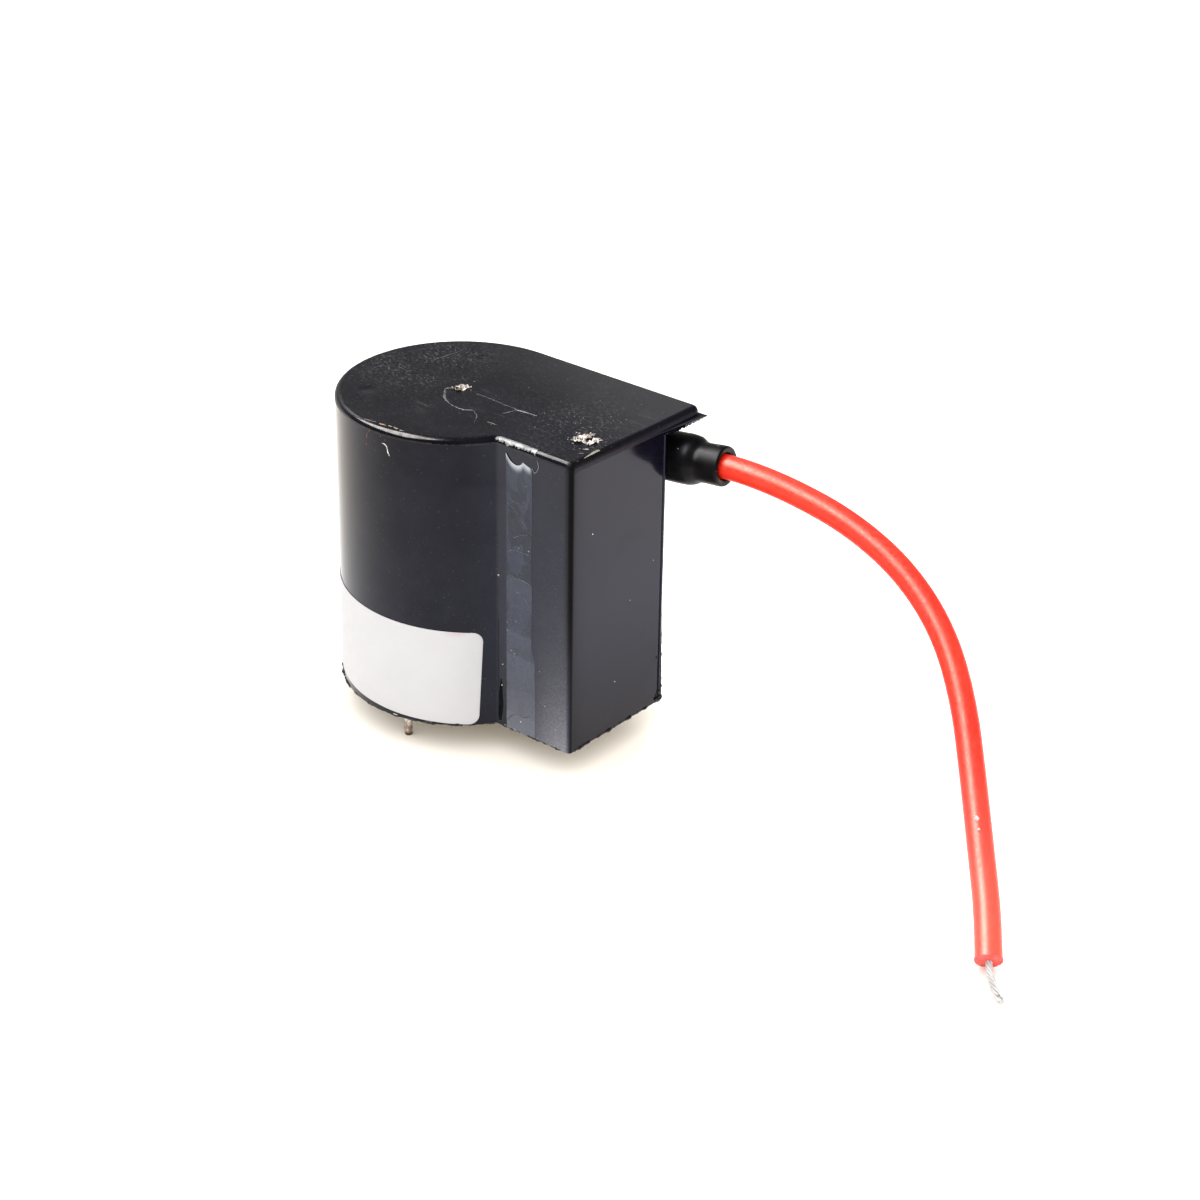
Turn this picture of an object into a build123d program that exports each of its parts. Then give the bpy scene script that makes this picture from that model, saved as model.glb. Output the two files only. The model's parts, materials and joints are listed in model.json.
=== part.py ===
"""High frequency transformer potted in a moulded case, with one flying high voltage lead.

Millimetres, +Z up. The pin tips stand on z = 0. The origin is the middle of the outline that the
case, its flash and the label make from above. Each piece below is drawn about the barrel's axis,
with z = 0 on the rim of the case, and moved into that frame when it is written.
"""

from build123d import *
import os
from math import asin, cos, degrees, hypot, radians, sin, sqrt, tan

# ---- Moulded case: a round barrel for the windings joined to a square block --------------------
case_height = 38.0
barrel_radius = 15.0
block_reach = 24.2  # barrel axis to the block's end face
block_side = 8.0  # barrel axis to the block's near side face
case_wall = 1.0
case_top = 1.5
top_edge_round = 0.8
upright_round = 0.5

# the pocket in the far corner, where the lead leaves under the top plate
pocket_side = 9.2  # barrel axis to the pocket's side wall, at the end face
pocket_depth = 5.5
plate_thickness = 1.3

# the top plate's lip grows along the end face, with mould flash under its far corner
lip_start = -6.0
lip_reach = 0.7
lip_corner_round = 1.0
flash_start = 3.0
flash_reach = 1.3
flash_thickness = 0.2

# ---- Lead outlet ---------------------------------------------------------------------------------
outlet_drop = 4.9  # top plate's underside to the outlet's axis, at the end face
outlet_swing = 5.0  # degrees from +X towards +Y
outlet_rise = 5.1  # degrees above level
nozzle_diameter = 4.3
nozzle_reach = 2.2  # past the end face
nozzle_round = 0.3
lead_diameter = 3.0
lead_clearance = 0.1
sleeve_wall = 0.85
sleeve_clearance = 0.05
sleeve_neck = 3.0
sleeve_shoulder = 1.0
sleeve_to_wall = 0.8
sleeve_side_gap = 0.15

# ---- Pins and terminal board ---------------------------------------------------------------------
pin_diameter = 1.0
pin_reach = 3.7  # rim to pin tip
pin_tip_chamfer = 0.2
pin_to_wall = 1.35  # a pin's axis to the case wall
pin_angles = (0, 80, 160, 200, 280)  # positions used on a ring of nine
pin_shoulder = 1.3  # square, through the board
pin_post = 1.3  # length above the board, where the wires are wrapped
pin_post_side = 0.8
board_thickness = 1.6
board_gap = 0.3  # board edge to the case wall
board_lift = 1.0  # rim to the board's underside
resin_recess = 0.3

# ---- Ferrite core: two U halves, one pair of legs on the barrel's axis ----------------------------
core_above_posts = 0.7
core_below_ceiling = 0.9
yoke_height = 5.6
core_width = 10.0
centre_leg_diameter = 8.6
return_leg_thickness = 5.8
return_leg_clearance = 1.9  # secondary bobbin to the return leg
core_gap = 0.3
core_round = 0.5

# ---- Windings -------------------------------------------------------------------------------------
bobbin_wall = 0.9
bobbin_slip = 0.2  # centre leg to bobbin, and bobbin to bobbin
bobbin_end_gap = 0.2
primary_flange = 0.8
primary_flange_margin = 0.65  # past the tape
primary_build = 0.75
primary_share = 0.62  # of the bobbin's width, the rest holds the feedback winding
winding_gap = 0.4
tape_build = 0.2
secondary_clearance = 1.4  # bobbin to the case wall
secondary_lift = 2.2  # primary flange to secondary bobbin, the way out for the primary's wires
secondary_sections = 7
secondary_flange = 0.7
secondary_fill = 0.8  # share of each slot's depth that is wound

# ---- High voltage rectifier -----------------------------------------------------------------------
rectifier_diameter = 3.0
rectifier_length = 12.0
rectifier_wire = 0.6
rectifier_clearance = 1.5  # to the secondary bobbin
rectifier_heading = 40.8  # degrees round the barrel
rectifier_lift = 11.0
rectifier_tail = 3.0

# ---- Label and tape on the outside ----------------------------------------------------------------
label_length = 30.0
label_height = 12.6
label_corner = 1.3
label_thickness = 0.1
label_lift = 0.8
label_to_corner = 1.87  # along the barrel, from the block's corner
strip_width = 4.1
strip_thickness = 0.06
strip_start = 1.7  # from the barrel's corner with the block
strip_below_top = 1.5

# ---- Lead route, in the frame of the whole part ---------------------------------------------------
lead_route = [
    (7.97, 11.54, 34.57),
    (14.42, 12.06, 35.11),
    (20.99, 12.68, 35.73),
    (26.22, 13.14, 36.20),
    (33.35, 14.26, 35.21),
    (41.60, 14.85, 33.28),
    (49.60, 14.29, 29.99),
    (56.38, 12.27, 25.47),
    (61.76, 8.76, 19.98),
    (66.41, 4.26, 14.00),
    (70.92, -0.39, 8.46),
    (74.85, -4.57, 4.16),
    (77.48, -8.16, 1.30),
]
strand_diameter = 0.9
strand_route = [
    (77.48, -8.16, 1.30),
    (78.08, -8.98, 0.65),
    (79.90, -10.75, 0.47),
    (81.80, -12.40, 0.47),
]
arc_share = 0.45  # of the shorter run beside a corner

# ---- Worked out from the sizes above --------------------------------------------------------------
inner_radius = barrel_radius - case_wall
corner_x = sqrt(barrel_radius**2 - block_side**2)
corner_heading = degrees(asin(block_side / barrel_radius))
ceiling = case_height - case_top
plate_underside = case_height - plate_thickness
pocket_slope = tan(radians(outlet_swing))
pocket_back = block_reach - pocket_depth

nozzle_bore = lead_diameter + 2 * lead_clearance
sleeve_bore = nozzle_diameter + 2 * sleeve_clearance
sleeve_outer = sleeve_bore + 2 * sleeve_wall
neck_bore = lead_diameter + 2 * lead_clearance
neck_outer = neck_bore + 2 * sleeve_wall
outlet_offset = pocket_side + sleeve_outer / 2 + sleeve_side_gap
outlet_direction = Vector(
    cos(radians(outlet_swing)) * cos(radians(outlet_rise)),
    sin(radians(outlet_swing)) * cos(radians(outlet_rise)),
    sin(radians(outlet_rise)),
)
outlet_height = plate_underside - outlet_drop
outlet = Plane(origin=(block_reach, outlet_offset, outlet_height), z_dir=outlet_direction)

board_top = board_lift + board_thickness
pin_radius = inner_radius - pin_to_wall
core_base = board_top + pin_post + core_above_posts
core_top = ceiling - core_below_ceiling
core_leg = (core_top - core_base - core_gap) / 2
window_base = core_base + yoke_height
window_top = core_top - yoke_height
bobbin_base = window_base + bobbin_end_gap
bobbin_top = window_top - bobbin_end_gap
primary_bore = centre_leg_diameter / 2 + bobbin_slip
primary_tube = primary_bore + bobbin_wall
primary_outer = primary_tube + primary_build
primary_flange_radius = primary_outer + tape_build + primary_flange_margin
primary_low = bobbin_base + primary_flange
primary_high = bobbin_top - primary_flange
primary_split = primary_low + primary_share * (primary_high - primary_low)
secondary_base = bobbin_base + secondary_lift
secondary_radius = inner_radius - secondary_clearance
secondary_bore = primary_flange_radius + bobbin_slip
secondary_tube = secondary_bore + bobbin_wall
secondary_wound = secondary_tube + secondary_fill * (secondary_radius - secondary_tube)
return_leg = secondary_radius + return_leg_clearance + return_leg_thickness / 2
rectifier_radius = secondary_radius + rectifier_clearance + rectifier_diameter / 2


def ring(inner, outer, base, top):
    """A plain ring about the barrel's axis."""
    return extrude(Pos(0, 0, base) * (Circle(outer) - Circle(inner)), top - base)


def group(pieces):
    """Like pieces that share a node, each still a solid of its own."""
    return Compound([piece.solid() for piece in pieces])


def case_outline(inset):
    """The barrel and block from above, drawn in by a wall."""
    radius = barrel_radius - inset
    side = block_side - inset
    corner = (sqrt(radius**2 - side**2), -side)
    near = (block_reach - inset, -side)
    far = (block_reach - inset, radius)
    return make_face(
        Polyline(corner, near, far, (0, radius))
        + ThreePointArc((0, radius), (-radius, 0), corner)
    )


def lip_outline(start, reach):
    """A sliver outside the end face that grows to its reach at the far corner."""
    root = block_reach - case_wall
    return make_face(
        Polyline(
            (root, start),
            (block_reach, start),
            (block_reach + reach, barrel_radius),
            (root, barrel_radius),
            close=True,
        )
    )


def pocket_outline(grow):
    """The far corner's pocket from above; its side wall runs beside the outlet."""
    beyond = 2.0
    side = pocket_side - grow
    return make_face(
        Polyline(
            (block_reach + beyond, side + beyond * pocket_slope),
            (pocket_back - grow, side - (pocket_depth + grow) * pocket_slope),
            (pocket_back - grow, barrel_radius + beyond),
            (block_reach + beyond, barrel_radius + beyond),
            close=True,
        )
    )


def rounded(sketch, places, radius):
    """The sketch with its corners at those places rounded."""
    near = [
        v for v in sketch.vertices() if any(hypot(v.X - x, v.Y - y) < 0.01 for x, y in places)
    ]
    return fillet(near, radius)


def cavity_outline():
    return case_outline(case_wall) - pocket_outline(case_wall)


def make_case():
    """One moulding: walls, top plate with its lip and flash, and the outlet nozzle."""
    corners = [
        (block_reach, -block_side),
        (corner_x, -block_side),
        (block_reach, pocket_side),
        (pocket_back, pocket_side - pocket_depth * pocket_slope),
        (pocket_back, barrel_radius),
    ]
    walls = rounded(case_outline(0) - pocket_outline(0), corners, upright_round)
    body = extrude(walls, plate_underside)

    plate_face = rounded(
        case_outline(0) + lip_outline(lip_start, lip_reach), corners[:2], upright_round
    )
    lip_corner = (block_reach + lip_reach, barrel_radius)
    plate_face = rounded(plate_face, [lip_corner], lip_corner_round)
    plate = Pos(0, 0, plate_underside) * extrude(plate_face, plate_thickness)
    plate = fillet(plate.edges().group_by(Axis.Z)[-1], top_edge_round)

    flash = extrude(
        Pos(0, 0, plate_underside) * lip_outline(flash_start, flash_reach), flash_thickness
    )

    nozzle_root = -(pocket_depth + case_wall / 2) / cos(radians(outlet_swing))
    nozzle = Cylinder(
        nozzle_diameter / 2,
        nozzle_reach - nozzle_root,
        align=(Align.CENTER, Align.CENTER, Align.MIN),
    )
    nozzle = fillet(nozzle.edges().group_by(Axis.Z)[-1], nozzle_round)
    bore = Cylinder(nozzle_bore / 2, 2 * (pocket_depth + nozzle_reach + case_wall))
    nozzle = outlet * Pos(0, 0, nozzle_root) * nozzle

    hollow = extrude(cavity_outline(), ceiling)
    return body + plate + flash + nozzle - hollow - outlet * bore


def make_sleeve():
    """Heat-shrink sleeve, shrunk over the nozzle and then down onto the lead."""
    base = -(pocket_depth - sleeve_to_wall) / cos(radians(outlet_swing))
    shoulder_low = nozzle_reach + sleeve_clearance
    shoulder_high = shoulder_low + sleeve_shoulder
    mouth = shoulder_high + sleeve_neck
    wide, narrow = sleeve_outer / 2, neck_outer / 2
    outside = Spline(
        (wide, shoulder_low - sleeve_shoulder / 2),
        (narrow, shoulder_high),
        tangents=[(0, 1), (0, 1)],
    )
    profile = make_face(
        Polyline(
            (narrow, shoulder_high),
            (narrow, mouth),
            (neck_bore / 2, mouth),
            (neck_bore / 2, shoulder_high),
            (sleeve_bore / 2, shoulder_low),
            (sleeve_bore / 2, base),
            (wide, base),
            (wide, shoulder_low - sleeve_shoulder / 2),
        )
        + outside
    )
    return outlet * revolve(Plane.XZ * profile, Axis.Z)


def return_leg_outline():
    return Pos(return_leg, 0) * Rectangle(return_leg_thickness, core_width)


def make_core_half(base, upward):
    """A U-shaped ferrite half: a yoke, a round centre leg and a flat return leg."""
    radius = centre_leg_diameter / 2
    length = radius + return_leg + return_leg_thickness / 2
    yoke = Pos(length / 2 - radius, 0) * Rectangle(length, core_width)
    yoke = extrude(fillet(yoke.vertices(), core_round), yoke_height)
    centre = extrude(Circle(radius), core_leg)
    back = return_leg_outline()
    back = extrude(fillet(back.vertices(), core_round), core_leg)
    half = yoke + centre + back
    return Pos(0, 0, base) * (half if upward else Rot(180, 0, 0) * half)


def make_core_gap():
    """Film spacers in the joint of both pairs of legs."""
    centre = extrude(Circle(centre_leg_diameter / 2), core_gap)
    back = extrude(return_leg_outline(), core_gap)
    return Pos(0, 0, core_base + core_leg) * group([centre, back])


def make_primary_bobbin():
    tube = ring(primary_bore, primary_tube, bobbin_base, bobbin_top)
    low = ring(primary_bore, primary_flange_radius, bobbin_base, bobbin_base + primary_flange)
    high = ring(primary_bore, primary_flange_radius, bobbin_top - primary_flange, bobbin_top)
    return tube + low + high


def make_primary_winding():
    return ring(primary_tube, primary_outer, primary_low, primary_split - winding_gap / 2)


def make_feedback_winding():
    return ring(primary_tube, primary_outer, primary_split + winding_gap / 2, primary_high)


def make_insulation_tape():
    """Tape over both windings, with the margin tape that keeps them apart."""
    cover = ring(primary_outer, primary_outer + tape_build, primary_low, primary_high)
    half_gap = winding_gap / 2
    margin = ring(primary_tube, primary_outer, primary_split - half_gap, primary_split + half_gap)
    return cover + margin


def section_slots():
    """The z ranges of the secondary bobbin's slots, from the bottom."""
    count = secondary_sections
    height = bobbin_top - secondary_base
    slot = (height - (count + 1) * secondary_flange) / count
    starts = [secondary_base + secondary_flange + i * (slot + secondary_flange) for i in range(count)]
    return [(start, start + slot) for start in starts]


def make_secondary_bobbin():
    body = ring(secondary_bore, secondary_radius, secondary_base, bobbin_top)
    for low, high in section_slots():
        body -= ring(secondary_tube, secondary_radius + 1, low, high)
    return body


def make_secondary_winding():
    return group(ring(secondary_tube, secondary_wound, low, high) for low, high in section_slots())


def pin_places():
    return [Pos(pin_radius * cos(radians(a)), pin_radius * sin(radians(a))) for a in pin_angles]


def square_bar(side, base, top):
    return extrude(Pos(0, 0, base) * Rectangle(side, side), top - base)


def make_terminal_board():
    board = extrude(Pos(0, 0, board_lift) * Circle(inner_radius - board_gap), board_thickness)
    for place in pin_places():
        board -= place * square_bar(pin_shoulder, board_lift, board_top)
    return board


def make_pin():
    """A tinned pin: a round shank outside, a square shoulder in the board and a post above it."""
    shank = extrude(
        Pos(0, 0, -pin_reach) * Circle(pin_diameter / 2), pin_reach + resin_recess
    )
    shank = chamfer(shank.edges().group_by(Axis.Z)[0], pin_tip_chamfer)
    shoulder = square_bar(pin_shoulder, resin_recess, board_top)
    return shank + shoulder + square_bar(pin_post_side, board_top, board_top + pin_post)


def make_pins():
    return group(place * make_pin() for place in pin_places())


def make_rectifier():
    """A stick diode standing beside the windings, with a stiff wire at each end."""
    body = extrude(Circle(rectifier_diameter / 2), rectifier_length)
    body = fillet(body.edges(), rectifier_wire / 2)
    wire = extrude(
        Pos(0, 0, -rectifier_tail) * Circle(rectifier_wire / 2),
        rectifier_length + 2 * rectifier_tail,
    )
    place = Rot(0, 0, rectifier_heading) * Pos(rectifier_radius, 0, rectifier_lift)
    return place * (body + wire)


def make_label():
    """A blank sticker wrapped round the barrel, up to the block's corner."""
    spread = degrees(label_length / barrel_radius)
    middle = -corner_heading - degrees(label_to_corner / barrel_radius) - spread / 2
    standing = (Align.NONE, Align.NONE, Align.MIN)
    wedge = Cylinder(2 * barrel_radius, label_height, spread, align=standing)
    sheet = ring(barrel_radius, barrel_radius + label_thickness, 0, label_height)
    sheet &= Rot(0, 0, -spread / 2) * wedge
    corners = sheet.edges().filter_by(lambda edge: edge.length < 2 * label_thickness)
    return Pos(0, 0, label_lift) * Rot(0, 0, middle) * fillet(corners, label_corner)


def make_strip():
    """A strip of clear tape down the block's near side."""
    return Pos(corner_x + strip_start, -block_side, 0) * Box(
        strip_width,
        strip_thickness,
        case_height - strip_below_top,
        align=(Align.MIN, Align.MAX, Align.MIN),
    )


def corner_radii(points):
    """For each inner point, the arc that its two runs have room for."""
    radii = []
    for a, b, c in zip(points, points[1:], points[2:]):
        before, after = Vector(*b) - Vector(*a), Vector(*c) - Vector(*b)
        half_turn = radians(before.get_angle(after)) / 2
        radii.append(arc_share * min(before.length, after.length) / tan(half_turn))
    return radii


def make_cable(points, diameter):
    """A plain tube along straight runs joined by tangent arcs."""
    path = FilletPolyline(*points, radius=corner_radii(points))
    section = Plane(origin=path @ 0, z_dir=path % 0) * Circle(diameter / 2)
    return sweep(section, path=path), path


def make_resin(embedded):
    """Casting resin fills the case round everything inside."""
    depth = ceiling - resin_recess
    block = extrude(Pos(0, 0, resin_recess) * cavity_outline(), depth)
    for solid in embedded:
        block -= solid
    return block


lead, lead_path = make_cable(lead_route, lead_diameter)
strand, strand_path = make_cable(strand_route, strand_diameter)
inside = {
    "lower_core_half": make_core_half(core_base, True),
    "upper_core_half": make_core_half(core_top, False),
    "core_gap_spacers": make_core_gap(),
    "primary_bobbin": make_primary_bobbin(),
    "primary_winding": make_primary_winding(),
    "feedback_winding": make_feedback_winding(),
    "insulation_tape": make_insulation_tape(),
    "secondary_bobbin": make_secondary_bobbin(),
    "secondary_winding": make_secondary_winding(),
    "terminal_board": make_terminal_board(),
    "terminal_pins": make_pins(),
    "rectifier": make_rectifier(),
}
outside = {
    "case": make_case(),
    "heat_shrink_sleeve": make_sleeve(),
    "blank_label": make_label(),
    "clear_tape_strip": make_strip(),
}
cords = {"lead_insulation": lead, "lead_strands": strand}

# the origin: the middle of the outline, level with the pin tips
standing = group([outside["case"], outside["blank_label"]]).bounding_box()
frame_shift = Pos(-standing.center().X, -standing.center().Y, pin_reach)
resin = make_resin([*inside.values(), frame_shift.inverse() * lead])

os.makedirs("parts", exist_ok=True)
for name, piece in {**outside, **inside, "potting_resin": resin}.items():
    export_step(frame_shift * piece, f"parts/{name}.step")
for name, piece in cords.items():
    export_step(piece, f"parts/{name}.step")

print("origin from the barrel's axis", frame_shift.position)
for name, points, path, solid in (
    ("lead", lead_route, lead_path, lead),
    ("strands", strand_route, strand_path, strand),
):
    print(name, "radii", [round(r, 1) for r in corner_radii(points)], "length", round(path.length, 1))
    print(name, "volume", round(solid.volume, 2))
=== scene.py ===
"""High frequency transformer: the looks of the case, its label, tape, pins and red lead."""
import json
import math

import bmesh
import bpy
from mathutils import Matrix, Vector, noise


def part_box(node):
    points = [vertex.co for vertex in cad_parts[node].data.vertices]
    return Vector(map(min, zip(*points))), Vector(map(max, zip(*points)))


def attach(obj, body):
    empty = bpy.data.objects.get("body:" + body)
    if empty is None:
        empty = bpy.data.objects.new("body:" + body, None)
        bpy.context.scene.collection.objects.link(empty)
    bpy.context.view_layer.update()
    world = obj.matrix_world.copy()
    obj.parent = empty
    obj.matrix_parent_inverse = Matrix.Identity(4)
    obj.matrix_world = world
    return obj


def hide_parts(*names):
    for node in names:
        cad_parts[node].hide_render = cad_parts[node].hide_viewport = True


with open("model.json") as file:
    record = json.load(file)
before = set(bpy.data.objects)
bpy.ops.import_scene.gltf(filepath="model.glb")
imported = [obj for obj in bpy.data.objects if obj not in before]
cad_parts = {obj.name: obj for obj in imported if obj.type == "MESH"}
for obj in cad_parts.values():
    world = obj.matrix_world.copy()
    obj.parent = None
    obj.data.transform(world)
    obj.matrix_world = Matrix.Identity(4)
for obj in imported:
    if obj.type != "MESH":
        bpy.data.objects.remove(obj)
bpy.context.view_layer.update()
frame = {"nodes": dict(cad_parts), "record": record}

noise.seed_set(1)  # so that noise_vector is the same in each run
MM = 0.001

# ---- Where things are ----
# Sizes are in millimetres unless a line says otherwise. Places are too: X and Y from the
# barrel's axis, and Z from the case's rim.
case_low, case_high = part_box("case")
RADIUS = (case_high.y - case_low.y) / 2 / MM  # of the barrel
HEIGHT = (case_high.z - case_low.z) / MM
SIDE = -8.0  # the block's near side face
END = 24.2  # the block's end face
EDGE = 0.8  # rounding along the top's edges
FLOOR = -case_low.z / MM
RIM = Vector((case_low.x + RADIUS * MM, (case_low.y + case_high.y) / 2, case_low.z))  # on the axis


def at(x, y, z=0.0):
    """A place given in millimetres, as a place in the frame in metres."""
    return Vector((RIM.x + x * MM, RIM.y + y * MM, RIM.z + z * MM))


def round_axis(heading, reach):
    """X and Y at a heading in degrees round the barrel's axis, and a reach from it."""
    turn = math.radians(heading)
    return reach * math.cos(turn), reach * math.sin(turn)


# Each face turns a place on it, and a height over it, into a place in the frame.
def on_top(x, y, out):
    return at(x, y, HEIGHT + out)


def on_side(x, z, out):
    return at(x, SIDE - out, z)


def on_end(y, z, out):
    return at(END + out, y, z)


def on_barrel(heading, z, out):
    return at(*round_axis(heading, RADIUS + out), z)


TAPE_FACE = 0.045  # the tape's outer face over the side


def on_tape(x, z, out):
    return on_side(x, z, TAPE_FACE + out)


def on_side_edge(x, turn, out):
    """On the rounding over the near side: turn is 0 on the side and 90 on the top."""
    reach, turn = EDGE + out, math.radians(turn)
    return at(x, SIDE + EDGE - reach * math.cos(turn), HEIGHT - EDGE + reach * math.sin(turn))


def on_barrel_edge(x, y, out):
    """On the rounding over the barrel's wall."""
    over = min(EDGE, max(0.0, math.hypot(x, y) - (RADIUS - EDGE)))
    return at(x, y, HEIGHT - EDGE + math.sqrt(EDGE**2 - over**2) + out)


# ---- Camera ----
CAMERA_PLACE = Vector((0.195344, -0.219955, 0.170810))
CAMERA_TURN, CAMERA_RISE, CAMERA_ROLL = (math.radians(a) for a in (39.146, 27.903, 0.915))
CAMERA_LENS, CAMERA_SENSOR = 81.19, 36.0


def add_camera():
    back = Vector(
        (
            math.sin(CAMERA_TURN) * math.cos(CAMERA_RISE),
            -math.cos(CAMERA_TURN) * math.cos(CAMERA_RISE),
            math.sin(CAMERA_RISE),
        )
    )
    right = (-back).cross(Vector((0, 0, 1))).normalized()
    up = right.cross(-back)
    rolled_right = right * math.cos(CAMERA_ROLL) + up * math.sin(CAMERA_ROLL)
    rolled_up = -right * math.sin(CAMERA_ROLL) + up * math.cos(CAMERA_ROLL)
    turn = Matrix((rolled_right, rolled_up, back)).transposed().to_4x4()
    data = bpy.data.cameras.new("camera")
    data.lens, data.sensor_width = CAMERA_LENS, CAMERA_SENSOR
    data.clip_start, data.clip_end = 0.01, 20.0
    camera = bpy.data.objects.new("camera", data)
    camera.matrix_world = Matrix.Translation(CAMERA_PLACE) @ turn
    bpy.context.scene.collection.objects.link(camera)
    bpy.context.scene.camera = camera


# ---- Shading helpers ----
class Shading:
    """A node tree and short ways to build in it."""

    def __init__(self, tree):
        self.tree = tree

    def node(self, kind, **settings):
        made = self.tree.nodes.new(kind)
        for key, value in settings.items():
            setattr(made, key, value)
        return made

    def join(self, socket, value):
        """Sets a socket to a number or colour, or links an output to it."""
        if isinstance(value, bpy.types.NodeSocket):
            self.tree.links.new(value, socket)
        elif isinstance(value, tuple) and socket.type == "RGBA":
            socket.default_value = (*value, 1.0)
        else:
            socket.default_value = value

    def filled(self, kind, inputs, **settings):
        """A node with its inputs given by name or number."""
        made = self.node(kind, **settings)
        for name, value in inputs.items():
            self.join(made.inputs[name], value)
        return made

    def maths(self, operation, first, second=0.0):
        return self.filled("ShaderNodeMath", {0: first, 1: second}, operation=operation).outputs["Value"]

    def times(self, first, *others):
        for other in others:
            first = self.maths("MULTIPLY", first, other)
        return first

    def plus(self, first, second):
        return self.maths("ADD", first, second)

    def most(self, first, *others):
        """The greatest of several values."""
        for other in others:
            first = self.maths("MAXIMUM", first, other)
        return first

    def away(self, value, middle):
        """How far a value is from a number, on either side."""
        return self.maths("ABSOLUTE", self.maths("SUBTRACT", value, middle))

    def between(self, value, low, high, to_low=0.0, to_high=1.0):
        """Goes smoothly from to_low, where the value is low, to to_high, where it is high."""
        ends = {"From Min": low, "From Max": high, "To Min": to_low, "To Max": to_high}
        inputs = {"Value": value, **ends}
        made = self.filled("ShaderNodeMapRange", inputs, interpolation_type="SMOOTHSTEP")
        return made.outputs["Result"]

    def split(self, vector):
        parts = self.filled("ShaderNodeSeparateXYZ", {"Vector": vector}).outputs
        return parts["X"], parts["Y"], parts["Z"]


class Finish(Shading):
    """One material. Its keywords are sockets of its shader, such as IOR."""

    def __init__(self, name, **sockets):
        self.material = bpy.data.materials.new(name)
        self.material.use_nodes = True
        super().__init__(self.material.node_tree)
        self.shader = self.tree.nodes["Principled BSDF"]
        for socket, value in sockets.items():
            self.put(socket.replace("_", " "), value)
        self.coordinates = self.node("ShaderNodeTexCoord").outputs["Object"]
        self.normal = None

    def put(self, socket, value):
        self.join(self.shader.inputs[socket], value)

    def colour(self, value):
        self.put("Base Color", value)

    def roughness(self, value):
        self.put("Roughness", value)

    def uneven_gloss(self, scale, low, high, detail=3.0, rough=0.5):
        """Roughness that drifts between two values in cloudy patches."""
        self.roughness(self.between(self.clouds(scale, detail, rough), 0.3, 0.7, low, high))

    def bump(self, height, depth, strength=1.0):
        """Adds relief of that depth on top of what is there."""
        inputs = {"Height": height, "Distance": depth * MM, "Strength": strength}
        if self.normal is not None:
            inputs["Normal"] = self.normal
        self.normal = self.filled("ShaderNodeBump", inputs).outputs["Normal"]
        self.put("Normal", self.normal)

    def mix(self, share, first, second):
        inputs = {"Factor": share, 6: first, 7: second}
        return self.filled("ShaderNodeMix", inputs, data_type="RGBA").outputs[2]

    def stretch(self, scale, turn=(0, 0, 0), shift=(0, 0, 0)):
        """The piece's coordinates, scaled, turned by degrees and shifted."""
        turn = [math.radians(a) for a in turn]
        inputs = {"Vector": self.coordinates, "Scale": scale, "Rotation": turn, "Location": shift}
        return self.filled("ShaderNodeMapping", inputs).outputs["Vector"]

    def axes(self):
        """X, Y and Z in millimetres, as at() takes them."""
        return self.split(self.stretch((1 / MM,) * 3, shift=-at(0, 0) / MM))

    def clouds(self, scale, detail=3.0, rough=0.5, warp=0.0, where=None):
        """Smooth noise of that many cells to the metre."""
        inputs = {"Scale": scale, "Detail": detail, "Roughness": rough, "Distortion": warp}
        inputs["Vector"] = where or self.coordinates
        return self.filled("ShaderNodeTexNoise", inputs).outputs["Fac"]

    def mottle(self, scale, detail, rough, dark, light):
        """Two tones in cloudy patches."""
        return self.mix(self.between(self.clouds(scale, detail, rough), 0.35, 0.65), dark, light)

    def specks(self, scale, size, share):
        """Small dots: 1 in a dot, 0 elsewhere. Share is how many of the cells have one."""
        cells = self.filled("ShaderNodeTexVoronoi", {"Vector": self.coordinates, "Scale": scale})
        dot = self.between(cells.outputs["Distance"], size, size * 0.6)
        lot = self.filled("ShaderNodeSeparateColor", {"Color": cells.outputs["Color"]})
        return self.times(dot, self.maths("LESS_THAN", lot.outputs["Red"], share))

    def near(self, place, reach, full=0.0):
        """1 within full of a place, fading to 0 at the reach from it."""
        inputs = {0: self.coordinates, 1: at(*place)}
        apart = self.filled("ShaderNodeVectorMath", inputs, operation="DISTANCE")
        return self.between(apart.outputs["Value"], reach * MM, full * MM)


def low_down(f, z):
    """1 at the case's foot, fading upward."""
    return f.maths("EXPONENT", f.times(z, -1 / 7))


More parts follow.
